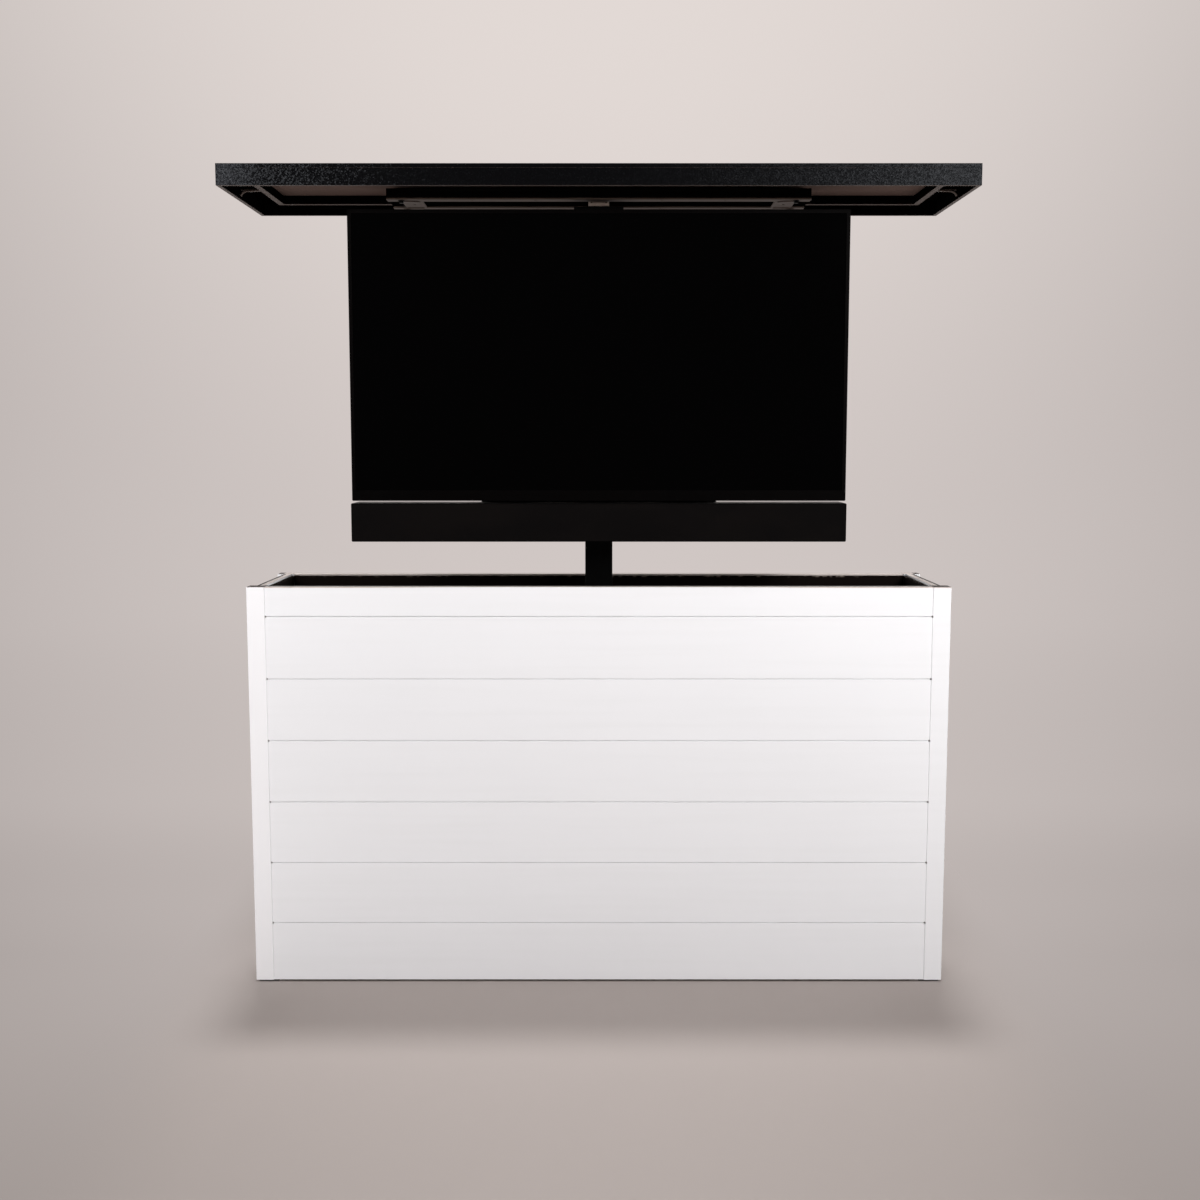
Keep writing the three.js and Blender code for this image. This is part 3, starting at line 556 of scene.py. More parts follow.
class Shape:
    """Collects closed forms in one mesh, which then becomes one piece."""

    def __init__(self):
        self.mesh = bmesh.new()

    def block(self, low, high, radius=0.5 * MM):
        """A box between two corners with eased edges."""
        low, high = Vector(low), Vector(high)
        made = bmesh.ops.create_cube(self.mesh, size=1)
        size = high - low
        for vert in made["verts"]:
            vert.co = Vector(a * b for a, b in zip(vert.co, size)) + (low + high) / 2
        edges = {edge for vert in made["verts"] for edge in vert.link_edges}
        bmesh.ops.bevel(self.mesh, geom=list(edges), offset=radius, segments=2, profile=0.5, affect="EDGES")

    def turned(self, profile, place, axis, steps=24, phase=0):
        """Turns a profile of (radius, height) pairs about an axis through a place."""
        turn = Vector((0, 0, 1)).rotation_difference(Vector(axis)).to_matrix()
        place = Vector(place)
        rings = []
        for radius, height in profile:
            if radius <= 0:
                rings.append([self.mesh.verts.new(place + turn @ Vector((0, 0, height)))])
                continue
            ring = [Vector((x, y, height)) for x, y in circle(0, 0, radius, steps, phase)]
            rings.append([self.mesh.verts.new(place + turn @ spot) for spot in ring])
        for lower, upper in zip(rings, rings[1:]):
            for step in range(steps):
                following = (step + 1) % steps
                if len(lower) == 1:
                    corners = (lower[0], upper[following], upper[step])
                elif len(upper) == 1:
                    corners = (lower[step], lower[following], upper[0])
                else:
                    corners = (lower[step], lower[following], upper[following], upper[step])
                self.mesh.faces.new(corners)
        return self

    def plate(self, outlines, thickness, matrix, edge=0.3 * MM):
        """A flat plate from an outer outline and any holes in it, laid in a matrix's XY plane."""
        curve = bpy.data.curves.new("outline", "CURVE")
        curve.dimensions = "2D"
        curve.fill_mode = "BOTH"
        curve.extrude = thickness / 2 - edge
        curve.bevel_depth = edge
        curve.bevel_resolution = 1
        curve.offset = -edge
        for outline in outlines:
            spline = curve.splines.new("POLY")
            spline.points.add(len(outline) - 1)
            for point, (x, y) in zip(spline.points, outline):
                point.co = (x, y, 0, 1)
            spline.use_cyclic_u = True
        holder = bpy.data.objects.new("outline", curve)
        made = bpy.data.meshes.new_from_object(holder)
        made.transform(matrix @ Matrix.Translation((0, 0, thickness / 2)))
        self.mesh.from_mesh(made)
        bpy.data.objects.remove(holder)
        bpy.data.meshes.remove(made)
        return self

    def piece(self, name, body, slot, material, replaces=()):
        bmesh.ops.remove_doubles(self.mesh, verts=self.mesh.verts, dist=0.005 * MM)
        bmesh.ops.recalc_face_normals(self.mesh, faces=self.mesh.faces)
        data = bpy.data.meshes.new(name)
        self.mesh.to_mesh(data)
        self.mesh.free()
        data.materials.append(material)
        for face in data.polygons:
            face.use_smooth = True
        data.set_sharp_from_angle(angle=math.radians(SHARP_DEG))
        obj = bpy.data.objects.new(name, data)
        bpy.context.collection.objects.link(obj)
        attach(obj, body)
        if replaces:
            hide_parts(*replaces)


def rectangle(x0, x1, y0, y1, radius, inset=0, steps=5):
    """A round-cornered outline, set in from four sides by a distance or out by a negative one."""
    x0, x1, y0, y1 = x0 + inset, x1 - inset, y0 + inset, y1 - inset
    corners = ((x1 - radius, y0 + radius, -90), (x1 - radius, y1 - radius, 0))
    corners += ((x0 + radius, y1 - radius, 90), (x0 + radius, y0 + radius, 180))
    points = []
    for x, y, start in corners:
        for step in range(steps + 1):
            turn = math.radians(start + 90 * step / steps)
            points.append((x + radius * math.cos(turn), y + radius * math.sin(turn)))
    return points


def window(x, y, half_width, half_height, radius, steps=5):
    """A round-cornered outline about a middle point."""
    return rectangle(x - half_width, x + half_width, y - half_height, y + half_height, radius, steps=steps)


def slot_outline(x, y, length, width, upright=False):
    """A round-ended slot about a middle point."""
    half_sizes = (width / 2, length / 2) if upright else (length / 2, width / 2)
    return window(x, y, *half_sizes, width / 2 - 0.01 * MM, 6)


def facing_front(y):
    """A plate drawn in X and Z whose back lies at y and whose face is towards the front."""
    return Matrix(((1, 0, 0, 0), (0, 0, -1, y), (0, 1, 0, 0), (0, 0, 0, 1)))


def facing_back(y):
    """A plate drawn in X and Z whose front lies at y and whose face is towards the back."""
    return Matrix(((1, 0, 0, 0), (0, 0, 1, y), (0, 1, 0, 0), (0, 0, 0, 1)))


def lying(z):
    """A plate drawn in X and Y whose underside lies at z."""
    return Matrix.Translation((0, 0, z))


UP, DOWN = (0, 0, 1), (0, 0, -1)
FRONT, BACK = (0, -1, 0), (0, 1, 0)


def hex_bolts(places, axis, across, washer=None):
    """Hexagon heads on washers: across is the width over the flats."""
    shape = Shape()
    radius, height, rim = across / math.sqrt(3), 0.42 * across, 0.16 * across
    washer = washer or 0.92 * across
    ring = [(0, 0), (washer, 0), (washer, rim * 0.7), (washer * 0.93, rim), (0, rim)]
    head = [(0, rim), (radius, rim), (radius, rim + height * 0.82)]
    head += [(radius * 0.86, rim + height), (radius * 0.5, rim + height), (0, rim + height * 0.96)]
    turn_between_heads = 0.4
    for index, place in enumerate(places):
        shape.turned(ring, place, axis)
        shape.turned(head, place, axis, 6, index * turn_between_heads)
    return shape


# Profiles of screw heads as shares of their radius, from the seat out and over the top to the socket
DOMED_SHARES = ((0, 0), (1, 0), (1, 0.25), (0.9, 0.55), (0.62, 0.74), (0.45, 0.76), (0.42, 0.36), (0, 0.3))
CUP_WASHER_SHARES = ((0, 0), (1, 0), (0.97, 0.14), (0.72, 0.34), (0.6, 0.32), (0.56, 0.18), (0.5, 0.24))
CUP_WASHER_SHARES += ((0.22, 0.27), (0.18, 0.1), (0, 0.1))
FLUSH_SHARES = ((0, 0), (1, 0), (0.95, 0.15625), (0.3, 0.15625), (0.25, 0.0625), (0, 0.0625))


def screw_heads(places, axis, radius, shares=DOMED_SHARES, steps=18, shape=None):
    """Screw heads with a socket, in a new shape or added to a given one."""
    shape = shape or Shape()
    profile = [(radius * out, radius * rise) for out, rise in shares]
    for place in places:
        shape.turned(profile, place, axis, steps)
    return shape


def spots(xs, ys, zs):
    return [(x, y, z) for x in xs for y in ys for z in zs]


def ends(low, high, inset):
    """Two places set in from both ends of a stretch."""
    return (low + inset, high - inset)


# Cabinet pieces


def back_screws():
    """Cup-washer screws round the access panel and domed ones in the rails over and under it."""
    low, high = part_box("back_access_panel")
    bottom_rail, top_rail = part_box("back_bottom_rail"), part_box("back_top_rail")
    face = (high.y,)
    inset, column, below_rail = 28 * MM, 390 * MM, 4 * MM
    left, right = ends(low.x, high.x, inset)
    rows = (low.z + inset, (low.z + high.z) / 2, high.z - inset - below_rail)
    places = spots((left, right), face, rows) + spots((-column, 0, column), face, (rows[0], rows[-1]))
    shape = screw_heads(places, BACK, 7.5 * MM, CUP_WASHER_SHARES, 20)
    shape.piece("access_panel_screws", "cabinet", "zinc_steel", ZINC)
    # One screw is left out over the cable hole
    places = spots((left, -column, 0, right), face, (bottom_rail[0].z + inset,))
    places += spots((left, -column, 0, column, right), face, (top_rail[1].z - inset,))
    screw_heads(places, BACK, 4.5 * MM).piece("back_rail_screws", "cabinet", "zinc_steel", ZINC)


def cable_grommet():
    hole = (0.25, 0.33, 0.06, 0.1)
    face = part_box("back_bottom_rail")[1].y
    lip, wall, slack, depth = 6 * MM, 2.5 * MM, 0.2 * MM, 20 * MM
    bore = rectangle(*hole, 5 * MM, wall)
    shape = Shape()
    shape.plate([rectangle(*hole, 9 * MM, -lip), bore], wall, facing_back(face), 0.8 * MM)
    shape.plate([rectangle(*hole, 6 * MM, slack), bore], depth, facing_back(face - depth), 0.2 * MM)
    shape.piece("cable_grommet", "cabinet", "black_plastic", PLASTIC)


def lift_motor():
    """A finned housing between a plain foot and a plain cap, with three screws on top."""
    low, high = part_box("lift_motor")
    middle = (low + high) / 2
    radius, length = (high.x - low.x) / 2, high.z - low.z
    shell, groove, cap = radius - 2.2 * MM, radius - 3.4 * MM, radius - 0.6 * MM
    foot, foot_edge, cap_height, cap_edge = 7 * MM, 2 * MM, 33 * MM, 4 * MM
    pitch, width, slope = 8 * MM, 5 * MM, 0.8 * MM
    hub, dish = 9 * MM, 2 * MM
    profile = [(0, 0), (radius, 0), (radius, foot), (radius - foot_edge, foot + foot_edge)]
    level = 16 * MM
    while level < length - 46 * MM:
        profile += [(shell, level), (shell, level + width)]
        profile += [(groove, level + width + slope), (groove, level + pitch - slope)]
        level += pitch
    profile += [(shell, level), (shell, length - cap_height - 1 * MM)]
    profile += [(cap, length - cap_height), (cap, length - 6 * MM)]
    profile += [(radius - cap_edge, length - 1.5 * MM), (radius - hub, length), (hub, length)]
    profile += [(hub - 1 * MM, length - dish), (0, length - dish)]
    shape = Shape().turned(profile, (middle.x, middle.y, low.z), UP, 48)
    shape.piece("motor_housing", "cabinet", "black_steel", STEEL, replaces=("lift_motor",))
    reach, level, turns = 19 * MM, high.z - 1.2 * MM, (0.4, 2.5, 4.6)
    ring = [(middle.x + reach * math.cos(turn), middle.y + reach * math.sin(turn), level) for turn in turns]
    screw_heads(ring, UP, 2.6 * MM).piece("motor_screws", "cabinet", "zinc_steel", ZINC)


def base_bolts():
    low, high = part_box("lift_base_plate")
    inset = 13 * MM
    places = spots(ends(low.x, high.x, inset), ends(low.y, high.y, inset), (high.z,))
    hex_bolts(places, UP, 13 * MM).piece("base_plate_bolts", "cabinet", "zinc_steel", ZINC)


def gearbox_cover():
    """A thin cover with holes for the column and the motor."""
    low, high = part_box("lift_gearbox")
    column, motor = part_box("outer_column"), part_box("lift_motor")
    thickness, gap, inset, between = 1.6 * MM, 0.6 * MM, 7.5 * MM, 56 * MM
    outline = rectangle(low.x, high.x, low.y, high.y, 5 * MM, 3 * MM)
    square = rectangle(column[0].x, column[1].x, column[0].y, column[1].y, 1 * MM, -gap)
    middle = (motor[0] + motor[1]) / 2
    bore = circle(middle.x, middle.y, (motor[1].x - motor[0].x) / 2 + gap, 40)
    shape = Shape().plate([outline, square, bore], thickness, lying(high.z))
    shape.piece("gearbox_cover", "cabinet", "black_steel", STEEL)
    left, right = ends(low.x, high.x, inset)
    places = spots((left, between, right), ends(low.y, high.y, inset), (high.z + thickness,))
    screw_heads(places, UP, 3 * MM).piece("gearbox_screws", "cabinet", "zinc_steel", ZINC)


def control_box():
    """A cover with air slots, four sockets along the front and four screws."""
    low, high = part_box("control_box")
    middle = (low + high) / 2
    thickness, inset, slot_pitch, socket_pitch = 2 * MM, 9 * MM, 9 * MM, 26 * MM
    outlines = [rectangle(low.x, high.x, low.y, high.y, 6 * MM, 3 * MM)]
    for step in range(-4, 5):
        outlines.append(slot_outline(middle.x + step * slot_pitch, middle.y, 46 * MM, 3.4 * MM, True))
    shape = Shape().plate(outlines, thickness, lying(high.z), 0.5 * MM)
    shape.piece("control_box_cover", "cabinet", "black_plastic", PLASTIC)
    shape = Shape()
    for step in range(-1, 3):
        x, z = middle.x + (step - 0.5) * socket_pitch, low.z + 17 * MM
        rim = window(x, z, 10 * MM, 8 * MM, 1.5 * MM)
        bore = window(x, z, 7.5 * MM, 5.5 * MM, 1 * MM)
        shape.plate([rim, bore], 3 * MM, facing_front(low.y))
    shape.piece("control_box_sockets", "cabinet", "glide_nylon", NYLON)
    places = spots(ends(low.x, high.x, inset), ends(low.y, high.y, inset), (high.z + thickness,))
    screw_heads(places, UP, 2.8 * MM).piece("control_box_screws", "cabinet", "zinc_steel", ZINC)


def column_fasteners():
    low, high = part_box("column_brace")
    half_spacing, depth = 17 * MM, 4 * MM
    places = spots((-half_spacing, half_spacing), (low.y + depth,), ((low.z + high.z) / 2,))
    hex_bolts(places, BACK, 10 * MM).piece("brace_bolts", "cabinet", "zinc_steel", ZINC)
    place_share = 0.62
    for name, body in (("lower", "cabinet"), ("upper", "middle_stage")):
        low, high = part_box(f"{name}_glide")
        xs, zs = (low.x * place_share, high.x * place_share), ((low.z + high.z) / 2,)
        shape = screw_heads(spots(xs, (low.y,), zs), FRONT, 2.2 * MM)
        screw_heads(spots(xs, (high.y,), zs), BACK, 2.2 * MM, shape=shape)
        shape.piece(f"{name}_glide_screws", body, "zinc_steel", ZINC)


# Pieces under the lid


def support_fasteners():
    """Bolts and screws in the rails and the head block, and a bent ear at each end of the clamps."""
    front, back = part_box("support_rail_front"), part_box("support_rail_back")
    underside = front[0].z
    rows = ((front[0].y + front[1].y) / 2, (back[0].y + back[1].y) / 2)
    places = spots(ends(front[0].x, front[1].x, 35 * MM), rows, (underside,))
    hex_bolts(places, DOWN, 11 * MM, 8 * MM).piece("rail_bolts", "carriage", "black_steel", STEEL)
    pitch = 155 * MM
    places = spots([step * pitch for step in (-2, -1, 1, 2)], rows, (underside,))
    shape = screw_heads(places, DOWN, 3.2 * MM, FLUSH_SHARES)
    shape.piece("rail_screws", "carriage", "zinc_steel", RAIL)
    shape = Shape()
    thickness = 2 * MM
    for side, name in ((-1, "rail_clamp_left"), (1, "rail_clamp_right")):
        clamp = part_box(name)
        inner, outer = sorted((abs(clamp[0].x), abs(clamp[1].x)))
        for row, sign in ((clamp[0].y, -1), (clamp[1].y, 1)):
            ear = [(inner + 6 * MM, row), (outer - 4 * MM, row), (outer + 9 * MM, row + sign * 13 * MM)]
            ear += [(outer - 6 * MM, row + sign * 18 * MM), (inner + 14 * MM, row + sign * 9 * MM)]
            drawn = [(side * x, y) for x, y in ear]
            if side * sign < 0:
                drawn.reverse()
            shape.plate([drawn], thickness, lying(underside - thickness))
    shape.piece("clamp_ears", "carriage", "zinc_steel", RAIL)
    low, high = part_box("head_block")
    places = spots(ends(low.x, high.x, 7 * MM), (low.y + 6.5 * MM, high.y - 4.2 * MM), (underside,))
    screw_heads(places, DOWN, 3 * MM).piece("head_plate_screws", "carriage", "zinc_steel", ZINC)


def seal_clips():
    """A bent strap on each side from the seal frame to the skirt, over the small tab between them."""
    near, far = 829 * MM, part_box("lid_right_skirt")[0].x
    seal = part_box("lid_seal_frame")[0].z
    thickness, width, middle = 1.6 * MM, 14 * MM, -30 * MM
    bend = ((near, 3.8 * MM), (far - 13 * MM, 2.6 * MM), (far - 6 * MM, -0.2 * MM))
    bend += ((far - 2 * MM, -4.5 * MM), (far, -8.5 * MM))
    shape = Shape()
    for side in (-1, 1):
        upper = [(side * x, seal + rise) for x, rise in bend]
        lower = [(x, z - thickness) for x, z in reversed(upper)]
        outline = upper + lower
        if side > 0:
            outline.reverse()
        shape.plate([outline], width, facing_front(middle + width / 2), 0.2 * MM)
    shape.piece("seal_clips", "carriage", "zinc_steel", RAIL)


# Television, bracket and soundbar


def pressed_plate(name, box, holes, radius, node):
    """A steel plate with a rounded outline and holes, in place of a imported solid."""
    low, high = box
    outline = rectangle(low.x, high.x, low.z, high.z, radius)
    shape = Shape().plate([outline, *holes], high.y - low.y, facing_front(high.y), 0.6 * MM)
    shape.piece(name, "carriage", "black_steel", STEEL, replaces=(node,))


def mount_plate():
    low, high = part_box("tv_mount_plate")
    middle = (low.z + high.z) / 2
    holes = []
    for x in (-200 * MM, -120 * MM, 120 * MM, 200 * MM):
        for rise in (-95 * MM, -60 * MM, 60 * MM, 95 * MM):
            holes.append(slot_outline(x, middle + rise, 46 * MM, 8 * MM))
    holes += [window(x, middle, 32 * MM, 30 * MM, 10 * MM) for x in (-120 * MM, 120 * MM)]
    pressed_plate("mount_plate", (low, high), holes, 12 * MM, "tv_mount_plate")


def bracket_arms():
    """Slotted channels that hang on the mount plate, each bolted to the television twice."""
    wall, setback, pitch = 2.5 * MM, 3 * MM, 50 * MM
    for side in ("left", "right"):
        node = f"tv_arm_{side}"
        low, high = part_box(node)
        centre = (low + high) / 2
        outlines = [rectangle(low.x, high.x, low.z, high.z, 5 * MM)]
        for step in range(-4, 5):
            outlines.append(slot_outline(centre.x, centre.z + step * pitch, 30 * MM, 7 * MM, True))
        shape = Shape().plate(outlines, wall, facing_front(low.y + wall), 0.5 * MM)
        for x in (low.x, high.x - wall):
            shape.block((x, low.y + wall, low.z + setback), (x + wall, high.y, high.z - setback))
        shape.piece(f"bracket_arm_{side}", "carriage", "black_aluminium", ALUMINIUM, replaces=(node,))
    # The arms mirror each other, so the last one's box serves both
    rise = 100 * MM
    places = spots((-centre.x, centre.x), (low.y + wall,), (centre.z - rise, centre.z + rise))
    hex_bolts(places, BACK, 10 * MM).piece("television_bolts", "carriage", "zinc_steel", ZINC)


def soundbar_hanger():
    low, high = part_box("soundbar_bracket")
    slot_x, upper_row, lower_row = 200 * MM, high.z - 18 * MM, high.z - 48 * MM
    window_x, window_z, lowest_row = 105 * MM, 1.29, 1.14
    holes = [slot_outline(x, z, 40 * MM, 8 * MM) for x in (-slot_x, slot_x) for z in (upper_row, lower_row)]
    holes += [window(x, window_z, 55 * MM, 65 * MM, 14 * MM) for x in (-window_x, window_x)]
    pressed_plate("soundbar_hanger", (low, high), holes, 8 * MM, "soundbar_bracket")
    places = spots([step * 80 * MM for step in (-3, -1, 1, 3)], (high.y,), (lowest_row,))
    places += spots((-slot_x, slot_x), (high.y,), (upper_row,))
    screw_heads(places, BACK, 4.2 * MM).piece("soundbar_hanger_screws", "carriage", "zinc_steel", ZINC)
    # Bolts on the back of the television hanger's plate, below its hook
    face, hanger_x, hanger_rows = -20 * MM, 48 * MM, (1.46, 1.5, 1.58, 1.62)
    places = spots((-hanger_x, hanger_x), (face,), hanger_rows)
    hex_bolts(places, BACK, 10 * MM).piece("hanger_bolts", "carriage", "zinc_steel", ZINC)


def television_back():
    """Louvres, a recess with sockets and screws."""
    low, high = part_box("tv_rear_cover")
    back = high.y
    louvre_low, louvre_pitch, louvre_width = 1.668, 7.5 * MM, 3.2 * MM
    near, far, sunk, proud = 10 * MM, 165 * MM, 0.5 * MM, 1.8 * MM
    shape = Shape()
    for step in range(9):
        z = louvre_low + step * louvre_pitch
        for x0, x1 in ((-far, -near), (near, far)):
            shape.block((x0, back - sunk, z), (x1, back + proud, z + louvre_width), 0.7 * MM)
    shape.piece("rear_louvres", "carriage", "black_plastic", PLASTIC)
    shape = Shape()
    recess = (0.235, 0.36, 1.38, 1.5)
    frame_outlines = [rectangle(*recess, 6 * MM), rectangle(*recess, 4 * MM, 6 * MM)]
    shape.plate(frame_outlines, 2.2 * MM, facing_back(back), 0.6 * MM)
    jack = [(0, 0), (6 * MM, 0), (6 * MM, 1.6 * MM), (3 * MM, 2.2 * MM)]
    jack += [(2.6 * MM, 0.6 * MM), (0, 0.6 * MM)]
    socket_x, jack_x, lowest, pitch = 0.27, 0.325, 1.404, 25 * MM
    for step in range(4):
        z = lowest + step * pitch
        rim = window(socket_x, z, 15 * MM, 6 * MM, 1.5 * MM)
        bore = window(socket_x, z, 12 * MM, 3.5 * MM, 1 * MM)
        shape.plate([rim, bore], 2 * MM, facing_back(back), 0.3 * MM)
        shape.turned(jack, (jack_x, back, z), BACK)
    shape.piece("rear_sockets", "carriage", "glide_nylon", NYLON)
    # Screws in the slim rim of the cover and on its thick middle
    slim_back, outer, inner = -80 * MM, 570 * MM, 280 * MM
    places = spots((-outer, -inner, 0, inner, outer), (slim_back,), ends(low.z, high.z, 16 * MM))
    places += spots((-outer, outer), (slim_back,), (1.4, 1.7))
    places += spots((-350 * MM, 350 * MM), (back,), (1.365, 1.72))
    screw_heads(places, BACK, 3.2 * MM).piece("rear_cover_screws", "carriage", "black_steel", STEEL)


def soundbar_details():
    """A rim round the grille, four buttons on top and two ribbed ports at the back."""
    low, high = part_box("soundbar_grille")
    body_low, body_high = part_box("soundbar_body")
    outline = rectangle(body_low.x, body_high.x, body_low.z, body_high.z, 3 * MM, 0.3 * MM)
    bore = rectangle(low.x, high.x, low.z, high.z, 1 * MM, -0.1 * MM)
    shape = Shape().plate([outline, bore], 2.2 * MM, facing_front(body_low.y), 0.3 * MM)
    shape.piece("soundbar_rim", "carriage", "black_plastic", BEZEL)
    shape = Shape()
    button_pitch, button_y = 26 * MM, -85 * MM
    for step in range(4):
        button = slot_outline((step - 1.5) * button_pitch, button_y, 16 * MM, 7 * MM)
        shape.plate([button], 1 * MM, lying(body_high.z), 0.4 * MM)
    shape.piece("soundbar_buttons", "carriage", "glide_nylon", NYLON)
    back, level, pitch = body_high.y, 1.145, 10 * MM
    half_bar, half_rise, sunk, proud = 1.5 * MM, 12 * MM, 0.5 * MM, 1.4 * MM
    shape = Shape()
    for x in (-420 * MM, 420 * MM):
        rim = window(x, level, 45 * MM, 20 * MM, 8 * MM)
        bore = window(x, level, 39 * MM, 14 * MM, 5 * MM)
        shape.plate([rim, bore], 2 * MM, facing_back(back), 0.6 * MM)
        for step in range(-3, 4):
            bar = x + step * pitch
            corner = (bar + half_bar, back + proud, level + half_rise)
            shape.block((bar - half_bar, back - sunk, level - half_rise), corner)
    shape.piece("soundbar_ports", "carriage", "glide_nylon", NYLON)


back_screws()
cable_grommet()
lift_motor()
base_bolts()
gearbox_cover()
control_box()
column_fasteners()
support_fasteners()
seal_clips()
mount_plate()
bracket_arms()
soundbar_hanger()
television_back()
soundbar_details()


# Studio

# The plain room's tones by the way along the floor, from GRADE_START_Y either way, and then up the wall
GRADE = (
    (0, (158, 149, 145)),
    (2.55, (193, 184, 181)),
    (3.75, (201, 192, 189)),
    (11, (208, 199, 196)),
    (16, (226, 217, 213)),
)
GRADE_START_Y = -2


def studio():
    """A round room: a floor that curves up into a pale wall, well outside any camera."""
    radius, height, curve = 9, 9, 1.5
    floor_step, curve_steps, wall_steps, sides = 0.5, 12, 6, 96
    flat = radius - curve
    profile = [(step * floor_step, 0) for step in range(1, int(flat / floor_step) + 1)]
    for step in range(1, curve_steps + 1):
        turn = math.radians(90 * step / curve_steps)
        profile.append((flat + curve * math.sin(turn), curve - curve * math.cos(turn)))
    profile += [(radius, curve + (height - curve) * step / wall_steps) for step in range(1, wall_steps + 1)]
    mesh = bmesh.new()
    rings = []
    for distance, level in profile:
        rings.append([mesh.verts.new((x, y, level)) for x, y in circle(0, 0, distance, sides)])
    hub = mesh.verts.new((0, 0, 0))
    for step in range(sides):
        following = (step + 1) % sides
        mesh.faces.new((hub, rings[0][step], rings[0][following]))
        for inner, outer in zip(rings, rings[1:]):
            mesh.faces.new((inner[step], outer[step], outer[following], inner[following]))
    data = bpy.data.meshes.new("studio_room")
    mesh.to_mesh(data)
    mesh.free()
    for face in data.polygons:
        face.use_smooth = True
    room = bpy.data.objects.new("studio_room", data)
    bpy.context.collection.objects.link(room)
    data.materials.append(studio_material())


def graded_tone(made, y, z):
    """The room's plain tone, which runs both ways along the floor and then up the wall."""
    grade = made.node("ShaderNodeValToRGB")
    stops = grade.color_ramp
    stops.interpolation = "EASE"
    run = made.math("ADD", made.math("ABSOLUTE", made.math("SUBTRACT", y, GRADE_START_Y)), z)
    whole = GRADE[-1][0]
    made.link(made.math("DIVIDE", run, whole), grade.inputs[0])
    for stop, (level, tone) in zip(stops.elements, (GRADE[0], GRADE[-1])):
        stop.position = level / whole
        stop.color = srgb(*tone)
    for level, tone in GRADE[1:-1]:
        stops.elements.new(level / whole).color = srgb(*tone)
    return grade.outputs["Color"]


def edge_falloff(made, x, y):
    """The sides fall off a little from the middle of the photograph."""
    distance, half_view, most, share = 3.66, 0.407, 1.1, 0.15
    reach = made.math("MULTIPLY", made.math("ADD", made.math("ABSOLUTE", y), distance), half_view)
    across = made.math("DIVIDE", x, reach)
    squared = made.math("MINIMUM", made.math("MULTIPLY", across, across), most)
    return made.math("SUBTRACT", 1, made.math("MULTIPLY", squared, share))


def floor_color(made, x, y, seen):
    """Painted shade on the lit floor, for camera and reflection rays: a little darker towards the viewer,
    more so at the sides.
    """
    in_middle, to_sides, from_y, to_y = 0.06, 0.11, -0.6, -1.2
    painted_floor_shade = made.math("ADD", made.math("MULTIPLY", made.math("MULTIPLY", x, x), to_sides), in_middle)
    painted_floor_shade = made.math("MULTIPLY", painted_floor_shade, made.spread(y, 0, 1, from_y, to_y, "LINEAR"))
    left = made.math("SUBTRACT", 1, made.math("MULTIPLY", painted_floor_shade, seen))
    return made.vector_math("SCALE", srgb(184, 175, 171)[:3], Scale=left)


def studio_material():
    """Near the object a lit floor that takes its shadow, and farther out a plain graded tone."""
    made = Tree("studio")
    made.tree.nodes.remove(made.tree.nodes["Principled BSDF"])
    x, y, z = made.place_axes()
    rays = made.node("ShaderNodeLightPath").outputs
    seen = made.math("MAXIMUM", rays["Is Camera Ray"], rays["Is Glossy Ray"])
    seen = made.math("MAXIMUM", seen, rays["Is Transmission Ray"])
    # Only reflections see the room behind the camera darker
    behind = made.math("MAXIMUM", made.spread(y, 0.5, 1, -6.5, -1.5), rays["Is Camera Ray"])
    glow = made.node("ShaderNodeEmission")
    made.link(graded_tone(made, y, z), glow.inputs["Color"])
    made.link(made.math("MULTIPLY", edge_falloff(made, x, y), behind), glow.inputs["Strength"])
    lit = made.node("ShaderNodeBsdfDiffuse")
    made.link(floor_color(made, x, y, seen), lit.inputs["Color"])
    # The lamp lights the floor round the cabinet, and the grade takes over further out
    beside = made.spread(made.math("ABSOLUTE", x), 0, 1, 0.74, 1.12)
    ahead = made.spread(made.math("ABSOLUTE", made.math("ADD", y, 0.35)), 0, 1, 0.95, 1.7)
    apart = made.math("MAXIMUM", beside, ahead)
    mix = made.node("ShaderNodeMixShader")
    made.link(made.math("MULTIPLY", apart, seen), mix.inputs["Fac"])
    made.link(lit.outputs[0], mix.inputs[1])
    made.link(glow.outputs[0], mix.inputs[2])
    made.link(mix.outputs[0], made.tree.nodes["Material Output"].inputs["Surface"])
    return made.material


# Each lamp's place, aim, size in metres, power in watts and what it lights
LAMPS = {
    "key_right": ((1.85, -2.2, 2.25), (0.3, 0, 1), (1, 1), 69, "object"),
    "key_left": ((-1.66, -1.45, 2.05), (-0.3, 0, 1), (1, 1), 26, "object"),
    "low_left": ((-1.35, -0.65, 0.25), (-0.8, -0.19, 0.3), (0.5, 0.5), 0.8, "object"),
    "low_fill": ((0, -3.9, 0.45), (0, 0, 1.95), (2.4, 0.5), 4, "object"),
    "floor_wash": ((0, -3, 4.2), (0, -0.3, 0), (4, 2), 106, "floor"),
    "back_right": ((2.8, 3.6, 1.2), (0, 0, 1.1), (1.8, 1.8), 70, "object"),
    "back_left": ((-2.8, 3.6, 1.2), (0, 0, 1.1), (1.8, 1.8), 70, "object"),
}
TOP_STRENGTH, TOP_SPREAD_DEG, TOP_TILT_DEG = 1.28, 6, -8.9
WORLD_TONE, WORLD_STRENGTH = srgb(214, 206, 202), 0.3


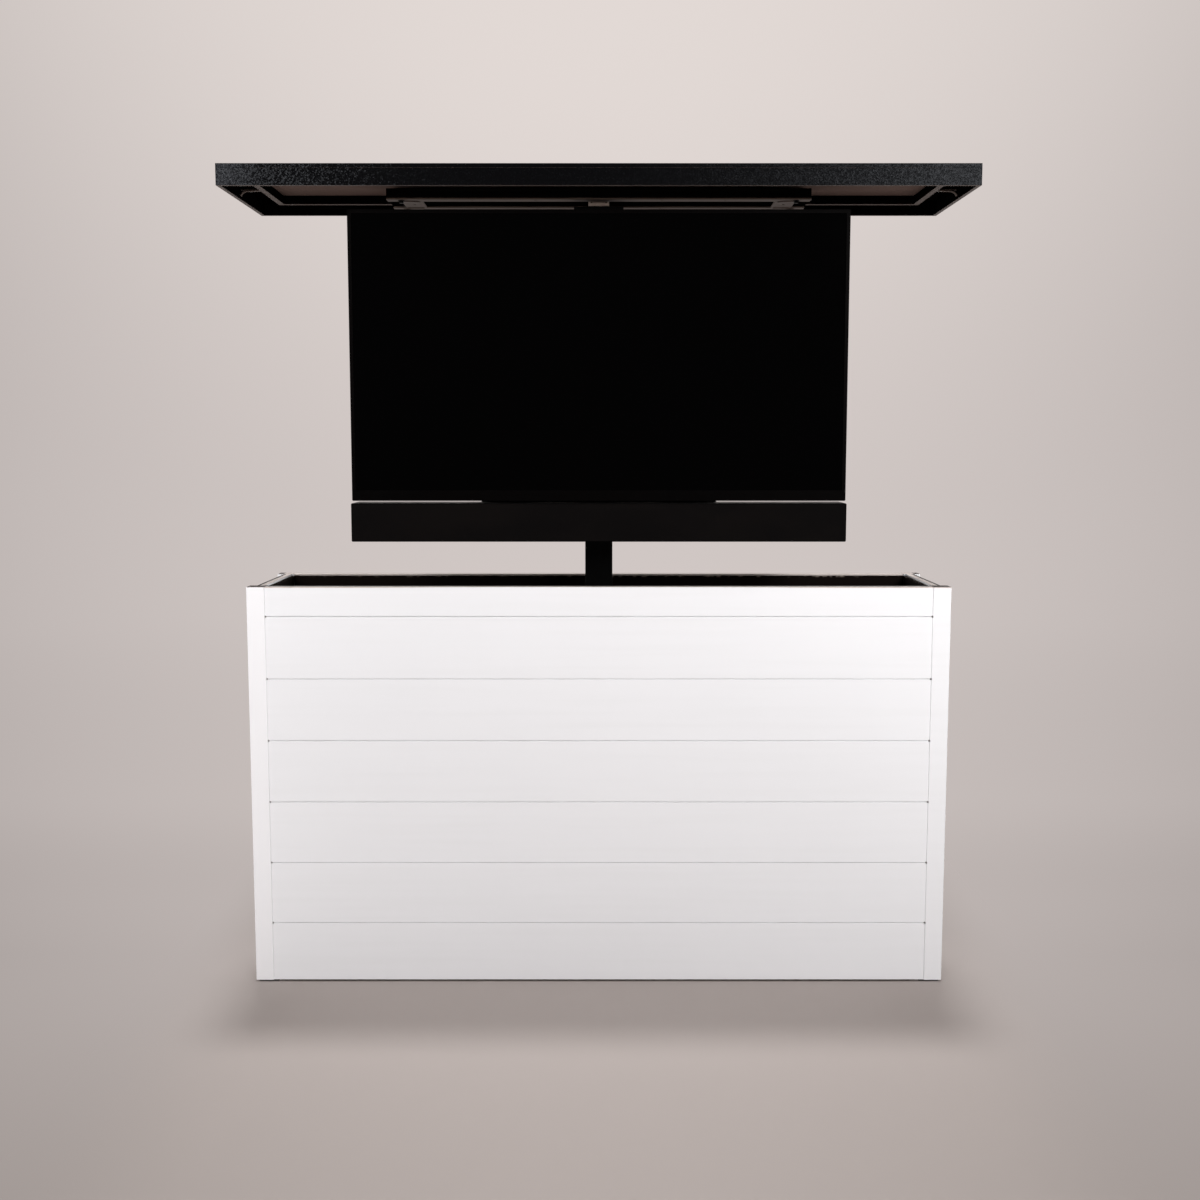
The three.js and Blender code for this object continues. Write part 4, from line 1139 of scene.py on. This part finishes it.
def linked(name, state):
    """A collection that limits a lamp to the floor, or to all but the floor."""
    made = bpy.data.collections.new(name)
    made.objects.link(bpy.data.objects["studio_room"])
    made.collection_objects[0].light_linking.link_state = state
    return made


def area_light(name, place, aim, size, power, receivers):
    lamp = bpy.data.lights.new(name, "AREA")
    lamp.shape = "RECTANGLE"
    lamp.size, lamp.size_y = size
    lamp.energy = power
    obj = bpy.data.objects.new(name, lamp)
    bpy.context.collection.objects.link(obj)
    obj.location = place
    obj.rotation_euler = (Vector(aim) - Vector(place)).to_track_quat("-Z", "Y").to_euler()
    obj.visible_camera = False
    obj.light_linking.receiver_collection = receivers


def lights():
    receivers = {"floor": linked("floor_alone", "INCLUDE"), "object": linked("all_but_floor", "EXCLUDE")}
    for name, (place, aim, size, power, lit) in LAMPS.items():
        area_light(name, place, aim, size, power, receivers[lit])
    # From above and a little behind, so that the soft shadow lies just in front of the object
    top = bpy.data.objects.new("top_light", bpy.data.lights.new("top_light", "SUN"))
    top.data.energy = TOP_STRENGTH
    top.data.angle = math.radians(TOP_SPREAD_DEG)
    top.rotation_euler = (math.radians(TOP_TILT_DEG), 0, 0)
    bpy.context.collection.objects.link(top)
    world = bpy.data.worlds.new("studio_world")
    world.use_nodes = True
    sky = world.node_tree.nodes["Background"].inputs
    sky["Color"].default_value = WORLD_TONE
    sky["Strength"].default_value = WORLD_STRENGTH
    bpy.context.scene.world = world


# The photograph's view, fitted to its edges
PICTURE_PIXELS, FOCAL_PIXELS, SHIFT_PIXELS = 1200, 1440.8, 1.2
CAMERA_PLACE, DOWNWARD_TILT_DEG = (0, -3.658, 1.34), 6.31


def camera():
    data = bpy.data.cameras.new("camera")
    data.sensor_width = 36.0
    data.lens = FOCAL_PIXELS / PICTURE_PIXELS * data.sensor_width
    data.shift_x = SHIFT_PIXELS / PICTURE_PIXELS
    obj = bpy.data.objects.new("camera", data)
    bpy.context.collection.objects.link(obj)
    obj.location = CAMERA_PLACE
    obj.rotation_euler = (math.radians(90 - DOWNWARD_TILT_DEG), 0, 0)
    bpy.context.scene.camera = obj


studio()
lights()
camera()
bpy.context.scene.view_settings.view_transform = "Standard"
